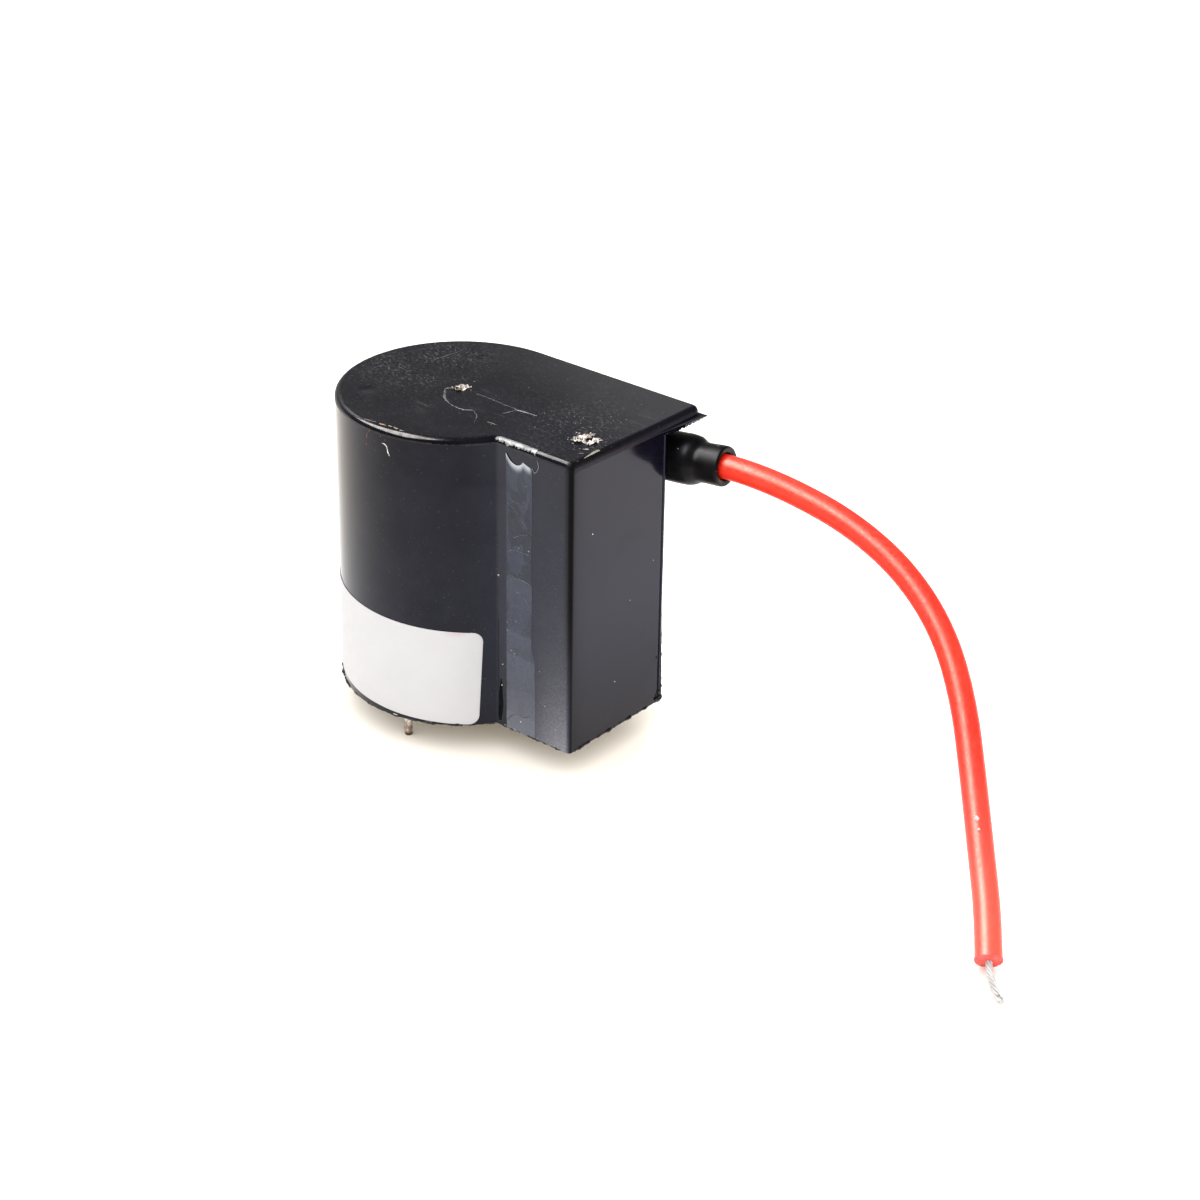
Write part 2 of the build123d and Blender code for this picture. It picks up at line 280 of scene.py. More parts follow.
# ---- Case finish ----
class CasePlastic(Finish):
    """Moulded black plastic: glossy sides, a dusty scratched top, painted light low on one side and
    painted shade where its sheen is cut.
    """

    BLACK, DULL_BLACK = (0.0035, 0.0035, 0.0060), (0.0060, 0.0060, 0.0095)
    # Dust, then the painted sheen toward the back of the top, then specks.
    DUST, HAZE, SPECK = (0.130, 0.130, 0.123), (0.070, 0.070, 0.066), (0.20, 0.19, 0.165)
    # Scratches, then the painted light that the near side's foot reflects from the floor.
    SCRATCH, BLOOM = (0.085, 0.085, 0.08), (0.200, 0.201, 0.228)
    # Blacks for the end face, bluer to paint the cool cast of its reflections, and for the upright corner
    # in painted shade.
    END_BLACK, CORNER_BLACK = (0.0032, 0.0032, 0.0072), (0.0040, 0.0040, 0.0048)
    NO_SHEEN = (0.0, 0.0, 0.0)

    def __init__(self):
        super().__init__("case_moulding", IOR=1.38)
        self.x, self.y, self.z = self.axes()
        self.on_top = self.between(self.z, HEIGHT - 0.08, HEIGHT - 0.01)
        self.on_end = self.between(self.x, END - 0.1, END - 0.02)
        # Painted shade: the block's upright near corner is kept dark and without reflection.
        corner = self.between(self.x, END - 1.3, END - 0.4)
        corner = self.times(corner, self.between(self.y, SIDE + 1.2, SIDE + 0.4))
        self.corner = self.times(corner, self.between(self.z, 1, 20, 0.15, 1.0))
        self.lay_dust()
        self.colour(self.plastic())
        self.edge_sheen()
        # The sheen, cut at the upright corner as painted shade.
        self.put("Specular Tint", self.mix(self.corner, self.sheen(), self.NO_SHEEN))
        self.roughness(self.gloss())
        self.relief()

    def lay_dust(self):
        """Dust in patches where the top is handled, with a grain, and fine scratches."""
        film = self.between(self.clouds(75, 6.0, 0.65, 0.8), 0.36, 0.60, 0.3, 1.0)
        handled = self.most(
            self.near((-9, 3, HEIGHT), 12), self.times(self.near((18.5, 1, HEIGHT), 12), 0.5)
        )
        self.film = self.times(film, self.plus(self.times(handled, 0.8), 0.2))
        brushed = self.stretch((2000, 4200, 2400), (0, 0, 24))
        grain = self.between(self.clouds(1.0, 3.0, 0.75, where=brushed), 0.54, 0.64)
        self.dusty = self.times(grain, self.film, self.on_top)
        lines = []
        for turn, share in ((28, 0.66), (64, 0.69), (-20, 0.70)):
            streak = self.clouds(1.0, 2.0, 0.5, where=self.stretch((120, 4600, 120), (0, 0, turn)))
            lines.append(self.between(streak, share, share + 0.05))
        here_and_there = self.between(self.clouds(130, 3.0), 0.45, 0.65)
        self.scratched = self.times(self.most(*lines), here_and_there, self.on_top)

    def plastic(self):
        tone = self.mix(self.between(self.clouds(260, 5.0, 0.6), 0.35, 0.7), self.BLACK, self.DULL_BLACK)
        tone = self.mix(self.dusty, tone, self.DUST)
        # Painted reflection: the top paler toward its back and right.
        back = self.plus(self.y, self.times(self.x, 0.45))
        haze = self.times(self.between(back, 4.56, 22.56, 0.0, 0.30), self.on_top)
        tone = self.mix(haze, tone, self.HAZE)
        # The end face's bluer black paints the cool cast of its reflections.
        tone = self.mix(self.on_end, tone, self.END_BLACK)
        fewer = self.between(self.times(self.film, self.on_top), 0.0, 0.7, 0.10, 0.9)
        fine = self.times(self.specks(2300, 0.24, 0.12), fewer)
        tone = self.mix(self.most(fine, self.specks(520, 0.06, 0.06)), tone, self.SPECK)
        tone = self.mix(self.times(self.scratched, 0.7), tone, self.SCRATCH)
        # The upright corner's black, part of its painted shade.
        tone = self.mix(self.corner, tone, self.CORNER_BLACK)
        # Painted light: the near side paler at its foot, as if reflecting the floor.
        return self.mix(self.times(self.bloom(), 0.78), tone, self.BLOOM)

    def bloom(self):
        """Painted light reflected from the floor: the near side paler at its foot, in a fine grain,
        stronger toward the end.
        """
        near_side = self.between(self.y, SIDE + 0.3, SIDE + 0.1)
        near_side = self.times(near_side, self.between(self.x, 15.5, 23.6))
        # A fine grain through the painted light.
        dust = self.between(self.clouds(5000, 3.0, 0.7), 0.35, 0.65, 0.75, 1.25)
        return self.times(low_down(self, self.z), near_side, dust, self.between(self.x, END, END - 0.7))

    def edge_sheen(self):
        """The top's rounding shines in patches; painted shade cuts its reflection at the left, partly
        beyond 19 mm along, and along the end.
        """
        below_top = self.maths("SUBTRACT", 1.0, self.on_top)
        self.on_rounding = self.times(self.between(self.z, HEIGHT - 0.9, HEIGHT - 0.75), below_top)
        end_edge = self.between(self.x, END - 1.2, END - 0.6)
        self.end_edge = self.times(end_edge, self.between(self.z, HEIGHT - 1.4, HEIGHT - 1.2))
        self.left = self.between(self.x, -2.0, -9, 0.0, 0.75)
        dull = self.plus(self.left, self.between(self.x, 19, 20, 0.0, 0.4))
        dull = self.most(dull, self.times(self.end_edge, 0.7))
        shine = self.between(self.clouds(1500, 4.0, 0.7), 0.38, 0.6)
        shine = self.mix(shine, (0.60, 0.55, 0.50), (1.0, 0.97, 0.93))
        # Where the rounding should look dark its reflection is cut: painted shade, with the left and end
        # edge also rougher.
        self.shine = self.mix(dull, shine, self.NO_SHEEN)

    def sheen(self):
        """How much the plastic mirrors, set by place to paint reflected light and shade: a little bluish
        on the block, weaker up the barrel, and less low on the end face and by its near edge.
        """
        # Weaker up the barrel and stronger, bluer on the block: painted reflected light and shade.
        barrel = self.mix(self.between(self.z, 6, HEIGHT), (0.55, 0.57, 0.67), (0.37, 0.385, 0.45))
        sheen = self.mix(self.between(self.x, 10, 13.6), barrel, (0.58, 0.625, 0.85))
        # Painted shade: the end face mirrors less toward its foot and its near edge.
        fading = self.plus(
            self.between(self.y, SIDE + 3.4, SIDE, 0.0, 0.4), self.between(self.z, 20, 3, 0.0, 0.52)
        )
        sheen = self.mix(self.times(fading, self.on_end), sheen, self.NO_SHEEN)
        smudges = self.between(self.clouds(95, 5.0, 0.62, 0.7), 0.52, 0.72, 0.0, 0.2)
        smudges = self.most(smudges, self.times(self.specks(1100, 0.16, 0.05), 0.45))
        sheen = self.mix(smudges, sheen, self.NO_SHEEN)
        return self.mix(self.on_rounding, sheen, self.shine)

    def gloss(self):
        polished = self.between(self.clouds(160, 4.0, 0.6), 0.3, 0.75, 0.12, 0.19)
        matt = self.most(
            self.times(self.on_top, 0.16),
            self.times(self.end_edge, 0.34),
            self.times(self.left, self.on_rounding, 0.4),
        )
        return self.plus(polished, matt)

    def relief(self):
        """Shallow waves from the mould, two dents in the top, and the dust and scratches."""
        self.bump(self.clouds(48, 1.0), 0.16, 0.25)
        self.bump(self.clouds(2600, 2.0, 0.6), 0.0025, 0.5)
        dents = self.plus(
            self.near((-7.8, -7.9, HEIGHT), 1.5, 0.1), self.near((-3.4, 8.6, HEIGHT), 1.6, 0.1)
        )
        self.bump(dents, -0.11)
        self.bump(self.plus(self.scratched, self.dusty), 0.006, 0.5)


# ---- Other finishes ----
def resin_finish():
    f = Finish("casting_resin", IOR=1.42)
    f.colour(f.mix(f.clouds(500, 4.0), (0.004, 0.004, 0.0045), (0.010, 0.010, 0.011)))
    f.uneven_gloss(220, 0.12, 0.34)
    f.bump(f.clouds(900, 4.0, 0.6), 0.03, 0.5)
    return f.material


def resin_run_finish():
    """Resin run deep into the corner, painted almost black and without sheen for the shade there."""
    f = Finish("dark_run", IOR=1.12)
    f.colour(f.mix(f.clouds(700), (0.0010, 0.0010, 0.0012), (0.0040, 0.0040, 0.0045)))
    f.uneven_gloss(500, 0.2, 0.35)
    f.bump(f.clouds(900), 0.01, 0.4)
    return f.material


SHOULDER = 28.3  # middle of the sleeve's shoulder


def sleeve_finish():
    """Shrunk tube, dusty, mirroring more where its shoulder tapers, which paints a highlight there."""
    f = Finish("heat_shrink", IOR=1.33)
    tone = f.mix(f.clouds(420, 4.0), (0.0012, 0.0012, 0.0015), (0.0028, 0.0028, 0.0032))
    f.colour(f.mix(f.specks(1500, 0.17, 0.07), tone, (0.32, 0.26, 0.19)))
    f.uneven_gloss(500, 0.34, 0.44, 4.0, 0.6)
    x, _, _ = f.axes()
    # Painted highlight: the tube mirrors more round its shoulder.
    shoulder = f.between(f.away(x, SHOULDER), 2.0, 0.5)
    polished = f.times(shoulder, f.between(f.clouds(1100, 3.0, 0.6), 0.35, 0.6, 0.5, 1.0))
    f.put("Specular Tint", f.mix(polished, (0.36, 0.37, 0.41), (0.60, 0.56, 0.53)))
    f.bump(f.clouds(1500, 4.0, 0.65), 0.014, 0.5)
    f.bump(f.clouds(260, 2.0), 0.05, 0.4)
    return f.material


def lead_finish():
    """Waxy red insulation with a slightly handled surface; painted light makes it paler toward its cut
    end, and a clear coat there widens its highlight.
    """
    f = Finish("red_insulation", IOR=1.48, Specular_Tint=(1.0, 0.90, 0.74))
    _, _, z = f.axes()
    tone = f.mottle(110, 3.0, 0.5, (0.56, 0.009, 0.0008), (0.66, 0.014, 0.0012))
    handled = f.between(f.clouds(1500, 3.0, 0.7), 0.45, 0.75)
    tone = f.mix(f.times(handled, 0.22), tone, (0.74, 0.05, 0.014))
    # Painted light: paler toward the cut end, near the bright floor.
    f.colour(f.mix(f.between(z, 15, 0, 0.0, 0.30), tone, (0.85, 0.16, 0.110)))
    f.roughness(f.between(f.clouds(2600, 3.0, 0.6), 0.35, 0.65, 0.30, 0.50))
    f.put("Coat Weight", f.between(z, 22, 3, 0.0, 0.22))
    f.put("Coat Roughness", 0.50)
    f.put("Coat Tint", (1.0, 0.93, 0.92))
    f.bump(f.clouds(2800, 3.0, 0.65), 0.016, 0.8)
    f.bump(f.clouds(140, 2.0), 0.04, 0.3)
    return f.material


def pin_finish():
    """Solder, darker over the last half millimetre above the ground."""
    f = Finish("solder_dip", Metallic=1.0)
    _, _, z = f.axes()
    tone = f.mottle(1300, 4.0, 0.6, (0.26, 0.19, 0.15), (0.74, 0.70, 0.67))
    f.colour(f.mix(f.between(z, FLOOR + 0.75, FLOOR + 0.25), tone, (0.085, 0.050, 0.036)))
    f.uneven_gloss(900, 0.22, 0.5, 4.0)
    f.bump(f.clouds(2200, 4.0, 0.6), 0.03, 0.5)
    return f.material


STAIN_HEADING, STAIN_HEIGHT = -51.0, 12.6


def label_finish():
    """White label stock with a faint warm tint, tiny specks and one pink stain."""
    f = Finish("label_stock", IOR=1.45)
    tone = f.mix(f.clouds(260, 4.0), (0.422, 0.418, 0.430), (0.458, 0.454, 0.465))
    tone = f.mix(f.times(f.specks(2100, 0.20, 0.09), 0.4), tone, (0.34, 0.28, 0.27))
    x, _, z = f.axes()
    stain_x, _ = round_axis(STAIN_HEADING, RADIUS)
    stain = f.between(f.away(x, stain_x), 1.5, 0.2)
    stain = f.times(stain, f.between(f.away(z, STAIN_HEIGHT), 0.5, 0.05), 0.5)
    f.colour(f.mix(stain, tone, (0.42, 0.31, 0.33)))
    f.uneven_gloss(900, 0.48, 0.62)
    f.bump(f.clouds(2600, 4.0, 0.6), 0.006, 0.5)
    return f.material


TAPE_SHEETS = ((38.0, 29.0), (20.7, 14.8), (13.6, 11.0), (10.3, 5.5), (2.6, -3.0))  # pale from, to


def tape_finish():
    """Clear tape over the black: darker where it has wetted the plastic, milky where it lifts, and paler
    toward the foot as painted light from the floor.

    The strip's UV runs across it in U, and in V down from its ragged top end in millimetres."""
    f = Finish("clear_tape", IOR=1.40, Specular_Tint=(0.72, 0.80, 1.0))
    _, _, z = f.axes()
    across, down, _ = f.split(f.node("ShaderNodeTexCoord").outputs["UV"])
    wetting = f.clouds(340, 2.0, 0.5, 1.8, where=f.stretch((1.0, 1.0, 0.45), (0, 33, 0)))
    tone = f.mix(f.between(wetting, 0.50, 0.515), (0.006, 0.0065, 0.010), (0.0115, 0.0140, 0.0245))
    ripple = f.plus(f.times(f.clouds(420, 2.0, 0.55, 0.8), 1.4), -0.7)
    height = f.plus(z, ripple)
    sheets = [
        f.times(f.between(height, top + 0.2, top - 0.1), f.between(height, foot, top))
        for top, foot in TAPE_SHEETS
    ]
    tone = f.mix(f.times(f.most(*sheets), 0.8), tone, (0.027, 0.031, 0.045))
    border = f.times(f.between(wetting, 0.488, 0.502), f.between(wetting, 0.528, 0.508))
    tone = f.mix(f.times(border, 0.3), tone, (0.040, 0.047, 0.074))
    fine = f.between(f.clouds(1500, 4.0, 0.6), 0.45, 0.7)
    tone = f.mix(f.times(fine, 0.2), tone, (0.030, 0.034, 0.050))
    # Painted light: paler toward the foot, as the near side is, from the floor it reflects.
    tone = f.mix(f.times(low_down(f, z), 0.54), tone, (0.165, 0.168, 0.200))
    lifted = f.maths("POWER", f.between(down, 1.25, 0.0), 1.5)
    lifted = f.times(lifted, f.between(f.clouds(500), 0.25, 0.6, 0.75, 1.0), f.between(across, 1.0, 0.86))
    tone = f.mix(lifted, tone, (0.36, 0.38, 0.42))
    f.colour(f.mix(f.specks(1300, 0.12, 0.08), tone, (0.3, 0.29, 0.27)))
    f.uneven_gloss(420, 0.20, 0.34)
    f.bump(wetting, 0.05, 0.35)
    f.bump(f.clouds(700), 0.02, 0.35)
    return f.material


def chalk_finish():
    """Crumpled pale film: cream where it stands up, brown in its creases."""
    f = Finish("pale_crumbs", IOR=1.45)
    crumple = f.clouds(1300, 4.0, 0.65, 0.5)
    tone = f.mix(f.between(crumple, 0.38, 0.46), (0.035, 0.020, 0.010), (0.24, 0.195, 0.155))
    f.colour(f.mix(f.between(crumple, 0.47, 0.56), tone, (0.58, 0.56, 0.53)))
    f.uneven_gloss(700, 0.25, 0.5)
    f.bump(crumple, 0.08, 0.8)
    return f.material


def winding_finish():
    """Enamelled wire laid in fine turns."""
    f = Finish("enamelled_copper", Metallic=1.0)
    bands = {"wave_type": "BANDS", "bands_direction": "Z"}
    turns = f.filled("ShaderNodeTexWave", {"Vector": f.coordinates, "Scale": 900}, **bands)
    turns = turns.outputs["Fac"]
    f.colour(f.mix(turns, (0.22, 0.07, 0.025), (0.80, 0.36, 0.15)))
    f.uneven_gloss(900, 0.22, 0.4)
    f.bump(turns, 0.08, 0.7)
    return f.material


def floor_finish():
    """Pale floor with painted light: under the part it glows a little and is warmer, lightening and
    warming the shadow there; round that it is neutral.
    """
    f = Finish("pale_floor", Roughness=0.9)
    # Painted light: the floor glows and is warmer under the part.
    under = f.most(f.near((0, 0, FLOOR), 27, 19), f.near((20, 0, FLOOR), 21, 12))
    sheet = f.mix(f.clouds(6), (0.925, 0.872, 0.805), (0.935, 0.887, 0.825))
    # Neutral round the part, so the shadow's edge stays grey.
    sheet = f.mix(f.near((9, 0, FLOOR), 85, 48), sheet, (0.905, 0.893, 0.880))
    f.colour(f.mix(under, sheet, (0.90, 0.865, 0.805)))
    f.put("Emission Color", f.mix(under, (0.0, 0.0, 0.0), (0.108, 0.082, 0.042)))
    f.put("Emission Strength", 1.0)
    f.bump(f.clouds(900), 0.02, 0.2)
    return f.material


def plain_finish(name, light, dark, rough):
    """A finish in two close tones."""
    f = Finish(name, IOR=1.47)
    f.colour(f.mottle(900, 4.0, 0.6, dark, light))
    f.uneven_gloss(700, rough - 0.1, rough + 0.15)
    f.bump(f.clouds(1600, 4.0, 0.6), 0.02, 0.6)
    return f.material


PLAIN_FINISHES = dict(  # material, light tone, dark tone, roughness
    tinned_wire=("tinned_strands", (0.50, 0.495, 0.49), (0.40, 0.39, 0.385), 0.35),
    film=("yellow_film", (0.80, 0.58, 0.09), (0.66, 0.44, 0.05), 0.3),
    ferrite=("sintered_ferrite", (0.06, 0.06, 0.065), (0.035, 0.035, 0.038), 0.6),
    bobbin_plastic=("bobbin_moulding", (0.04, 0.04, 0.042), (0.022, 0.022, 0.024), 0.5),
    board=("brown_laminate", (0.30, 0.16, 0.07), (0.20, 0.10, 0.04), 0.5),
    rectifier_body=("rectifier_moulding", (0.03, 0.03, 0.03), (0.018, 0.018, 0.018), 0.4),
    edge_film=("edge_film", (0.19, 0.19, 0.195), (0.06, 0.06, 0.065), 0.42),
    milky=("lifted_film", (0.14, 0.145, 0.16), (0.05, 0.05, 0.06), 0.4),
    tape_crease=("tape_crease", (0.060, 0.068, 0.096), (0.024, 0.028, 0.042), 0.4),
    residue=("dried_residue", (0.165, 0.17, 0.17), (0.045, 0.046, 0.05), 0.4),
    straw=("straw_chip", (0.24, 0.245, 0.175), (0.12, 0.12, 0.085), 0.5),
    rust=("rusty_scuff", (0.13, 0.045, 0.025), (0.035, 0.012, 0.008), 0.6),
    gold=("worn_gold", (0.46, 0.30, 0.12), (0.09, 0.045, 0.015), 0.4),
    cut_rubber=("cut_rubber", (0.66, 0.10, 0.09), (0.58, 0.035, 0.025), 0.5),
)
FINISHES = {}


def make_finishes():
    for name, tones in PLAIN_FINISHES.items():
        FINISHES[name] = plain_finish(*tones)
    FINISHES.update(
        case_plastic=CasePlastic().material,
        casting_resin=resin_finish(),
        resin_run=resin_run_finish(),
        sleeve_plastic=sleeve_finish(),
        lead_red=lead_finish(),
        tinned_pin=pin_finish(),
        label_paper=label_finish(),
        clear_tape=tape_finish(),
        chalk=chalk_finish(),
        enamelled_copper=winding_finish(),
    )


# ---- Modelling helpers ----
def deselect():
    if bpy.context.mode != "OBJECT":
        bpy.ops.object.mode_set(mode="OBJECT")
    bpy.ops.object.select_all(action="DESELECT")


def added(name):
    """The object that an operator has just added, named."""
    piece = bpy.context.object
    piece.name = piece.data.name = name
    return piece


def only(piece):
    deselect()
    piece.select_set(True)
    bpy.context.view_layer.objects.active = piece


def edit(piece):
    """Opens a piece's mesh, with all of it selected."""
    only(piece)
    bpy.ops.object.mode_set(mode="EDIT")
    bpy.ops.mesh.select_all(action="SELECT")


def apply(piece, kind, **settings):
    """Adds a modifier to a piece and applies it."""
    only(piece)
    modifier = piece.modifiers.new(kind.lower(), kind)
    for key, value in settings.items():
        setattr(modifier, key, value)
    bpy.ops.object.modifier_apply(modifier=modifier.name)


def thicken(piece, thickness, offset=0.0):
    apply(piece, "SOLIDIFY", thickness=thickness * MM, offset=offset)


def stand(piece, place, along):
    """Puts a piece's origin at a place, and its Z along a direction."""
    turn = along.to_track_quat("Z", "Y").to_matrix().to_4x4()
    piece.matrix_world = Matrix.Translation(place) @ turn


def settle(piece, slot, finish=None, smooth=60, replaces=()):
    """Puts a piece's place into its mesh, gives it its finish and hangs it on the frame."""
    only(piece)
    bpy.ops.object.transform_apply(location=True, rotation=True, scale=True)
    if piece.type == "MESH":
        edit(piece)
        bpy.ops.mesh.normals_make_consistent(inside=False)
        bpy.ops.object.mode_set(mode="OBJECT")
        bpy.ops.object.shade_smooth_by_angle(angle=math.radians(smooth))
    piece.data.materials.clear()
    piece.data.materials.append(FINISHES[finish or slot])
    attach(piece, "root")
    if replaces:
        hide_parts(*replaces)
    return piece


def joined(name, pieces):
    deselect()
    for piece in pieces:
        piece.select_set(True)
    bpy.context.view_layer.objects.active = pieces[0]
    bpy.ops.object.transform_apply(location=True, rotation=True, scale=True)
    bpy.ops.object.join()
    return added(name)


def curve(name, points, radii=None, thick=0.0, kind="NURBS", facets=3, steps=8):
    """A curve along points, with its own radius at each."""
    data = bpy.data.curves.new(name, "CURVE")
    data.dimensions = "3D"
    line = data.splines.new(kind)
    line.points.add(len(points) - 1)
    for i, point in enumerate(points):
        line.points[i].co = (*point, 1.0)
        line.points[i].radius = radii[i] if radii else 1.0
    if kind == "NURBS":
        line.order_u = 3
        line.use_endpoint_u = True
    line.resolution_u = steps
    data.bevel_depth, data.bevel_resolution = thick, facets
    data.use_fill_caps = True
    piece = bpy.data.objects.new(name, data)
    bpy.context.scene.collection.objects.link(piece)
    return piece


def rod(name, points, radii=None, thick=MM, **settings):
    """A round rod along points, as a mesh."""
    only(curve(name, points, radii, thick, **settings))
    bpy.ops.object.convert(target="MESH")
    return added(name)


def line_of(points):
    """Points along the smooth line that a route's curve follows."""
    guide = curve("guide", points)
    mesh = bpy.data.meshes.new_from_object(guide)
    found = [vertex.co.copy() for vertex in mesh.vertices]
    bpy.data.objects.remove(guide)
    return found


def grid(name, columns, rows):
    """A flat grid, and its vertices with their shares of the way across and up."""
    bpy.ops.mesh.primitive_grid_add(x_subdivisions=columns, y_subdivisions=rows, size=1.0)
    piece = added(name)
    return piece, [(vertex, vertex.co.x + 0.5, vertex.co.y + 0.5) for vertex in piece.data.vertices]


def cut_evenly(axis, length, parts):
    """Cuts the mesh in edit mode into equal parts along an axis, about its middle."""
    facing = Vector((0, 0, 0))
    facing[axis] = 1
    for i in range(1, parts):
        bpy.ops.mesh.select_all(action="SELECT")
        place = facing * length * (i / parts - 0.5)
        bpy.ops.mesh.bisect(plane_co=place, plane_no=facing)


def trim(piece, gone):
    """Takes the vertices with those numbers out of a mesh."""
    edit(piece)
    shape = bmesh.from_edit_mesh(piece.data)
    shape.verts.ensure_lookup_table()
    bmesh.ops.delete(shape, geom=[shape.verts[i] for i in gone], context="VERTS")
    bmesh.update_edit_mesh(piece.data)
    bpy.ops.object.mode_set(mode="OBJECT")


def waver(x, y=0.0, z=0.0):
    """Smooth noise at a place, from about -1 to 1."""
    return noise.noise(Vector((x, y, z)))


def lump(name, place, size, height, grain, seed, fineness=2):
    """A small ball, rumpled to that height in bumps of that grain."""
    bpy.ops.mesh.primitive_ico_sphere_add(subdivisions=fineness, radius=size * MM, location=place)
    ball = added(name)
    shift = Vector((seed, seed * 1.7, seed * 0.3))
    for vertex in ball.data.vertices:
        push = noise.noise(vertex.co / (grain * MM) + shift) * height * MM
        vertex.co += vertex.normal * push
    return ball


def height_at(points, x):
    """The height at x of a line drawn through points."""
    for (x0, y0), (x1, y1) in zip(points, points[1:]):
        if x <= x1:
            return y0 + (y1 - y0) * max(0.0, x - x0) / (x1 - x0)
    return points[-1][1]


# ---- Lead ----
LEAD_ROUTE = (  # millimetres in the frame
    (7.97, 11.54, 34.57), (14.42, 12.06, 35.11), (20.99, 12.68, 35.73), (26.22, 13.14, 36.20),
    (33.35, 14.26, 35.21), (41.60, 14.85, 33.28), (49.60, 14.29, 29.99), (56.38, 12.27, 25.47),
    (61.76, 8.76, 19.98), (66.41, 4.26, 14.00), (70.92, -0.39, 8.46), (74.85, -4.57, 4.16),
    (77.48, -8.16, 1.30),
)  # fmt: skip
STRAND_ROUTE = (LEAD_ROUTE[-1], (78.08, -8.98, 0.65), (79.90, -10.75, 0.47), (81.80, -12.40, 0.47))
LEAD_LENGTH, LEAD_DIAMETER = 0.0893, 0.003  # metres, as is the next line
STRAND, STRAND_COUNT, STRAND_TURNS = 0.138 * MM, 6, 1.1  # a strand's radius, how many, turns
LEAD_SPECKS = (((69.39, 0.58, 11.86), 0.26), ((70.12, -0.07, 11.07), 0.17))  # place, size
CUT_RADIUS = 0.46  # of the cut end's hole for the strands
CUT_STEPS = ((1.04, 0.16), (2.2, 0.12), (1.38, 0.02), (1.07, -0.12), (1.01, -0.22))  # grow, rise


def metres(route):
    return [Vector(point) * MM for point in route]


def add_lead():
    lead = curve("red_lead", metres(LEAD_ROUTE), thick=LEAD_DIAMETER / 2, facets=8, steps=16)
    return settle(lead, "lead_red", replaces=["lead_insulation"])


def square_to(points, i):
    """Two directions square to a line at one of its points."""
    ahead = (points[min(i + 1, len(points) - 1)] - points[max(i - 1, 0)]).normalized()
    side = ahead.cross(Vector((0, 0, 1))).normalized()
    return side, side.cross(ahead)


def add_strands():
    """Bare tinned strands, twisted round a middle one and a little splayed at the tip."""
    line = line_of(metres(STRAND_ROUTE))
    last = len(line) - 1
    strands = []
    for turn in range(STRAND_COUNT + 1):
        points = []
        for i, place in enumerate(line):
            side, over = square_to(line, i)
            share = i / last
            around = 2 * math.pi * (turn / STRAND_COUNT + STRAND_TURNS * share)
            reach = 0.0 if turn == STRAND_COUNT else 2 * STRAND * (0.98 + 0.12 * share**3)
            points.append(place + reach * (side * math.cos(around) + over * math.sin(around)))
        cut = last - (turn * 2) % 3
        strands.append(rod("strand", points[: cut + 1], thick=STRAND, kind="POLY", facets=2))
    return settle(joined("bare_strands", strands), "tinned_wire", replaces=["lead_strands"])


def add_cut_end():
    """The insulation's cut face: a slightly ragged ring round the strands."""
    before, end = metres(LEAD_ROUTE[-2:])
    ahead = (end - before).normalized()
    bpy.ops.mesh.primitive_circle_add(vertices=48, radius=CUT_RADIUS * MM, fill_type="NOTHING")
    ring = added("cut_insulation")
    edit(ring)
    for grow, rise in CUT_STEPS:
        bpy.ops.mesh.extrude_region_move(TRANSFORM_OT_translate={"value": (0, 0, rise * MM)})
        bpy.ops.transform.resize(value=(grow, grow, 1.0), center_override=(0, 0, 0))
    bpy.ops.object.mode_set(mode="OBJECT")
    for vertex in ring.data.vertices:
        ragged = noise.noise(vertex.co / (0.35 * MM)) * 0.09 * MM
        vertex.co.z += ragged * (1.0 if vertex.co.xy.length > 0.5 * MM else 0.4)
    stand(ring, end - ahead * 0.25 * MM, ahead)
    return settle(ring, "lead_red", "cut_rubber", smooth=50)


def add_lead_specks():
    """Two white specks stuck on the lead."""
    specks = []
    for i, (place, size) in enumerate(LEAD_SPECKS):
        speck = lump(f"lead_speck_{i}", Vector(place) * MM, size, 0.12, 0.2, i + 3.0, fineness=3)
        specks.append(settle(speck, "label_paper", smooth=35))
    return specks


# ---- Sleeve ----
OUTLET = (END, 12.4, 31.8)
OUTLET_AXIS = Vector((0.9922, 0.0868, 0.0889)).normalized()
SLEEVE_PROFILE = (  # along the outlet's axis from the end face, and out from it
    (-4.70, 2.20), (-4.70, 3.02), (-4.2, 3.06), (-2.5, 3.05), (-0.5, 3.04), (1.0, 3.06),
    (1.75, 3.03), (2.25, 2.90), (2.65, 2.66), (2.95, 2.50), (3.3, 2.44), (4.4, 2.45), (5.6, 2.46),
    (6.08, 2.45), (6.24, 2.36), (6.25, 2.10), (6.20, 1.72), (6.00, 1.60), (5.20, 1.59),
    (4.0, 1.59),
)  # fmt: skip


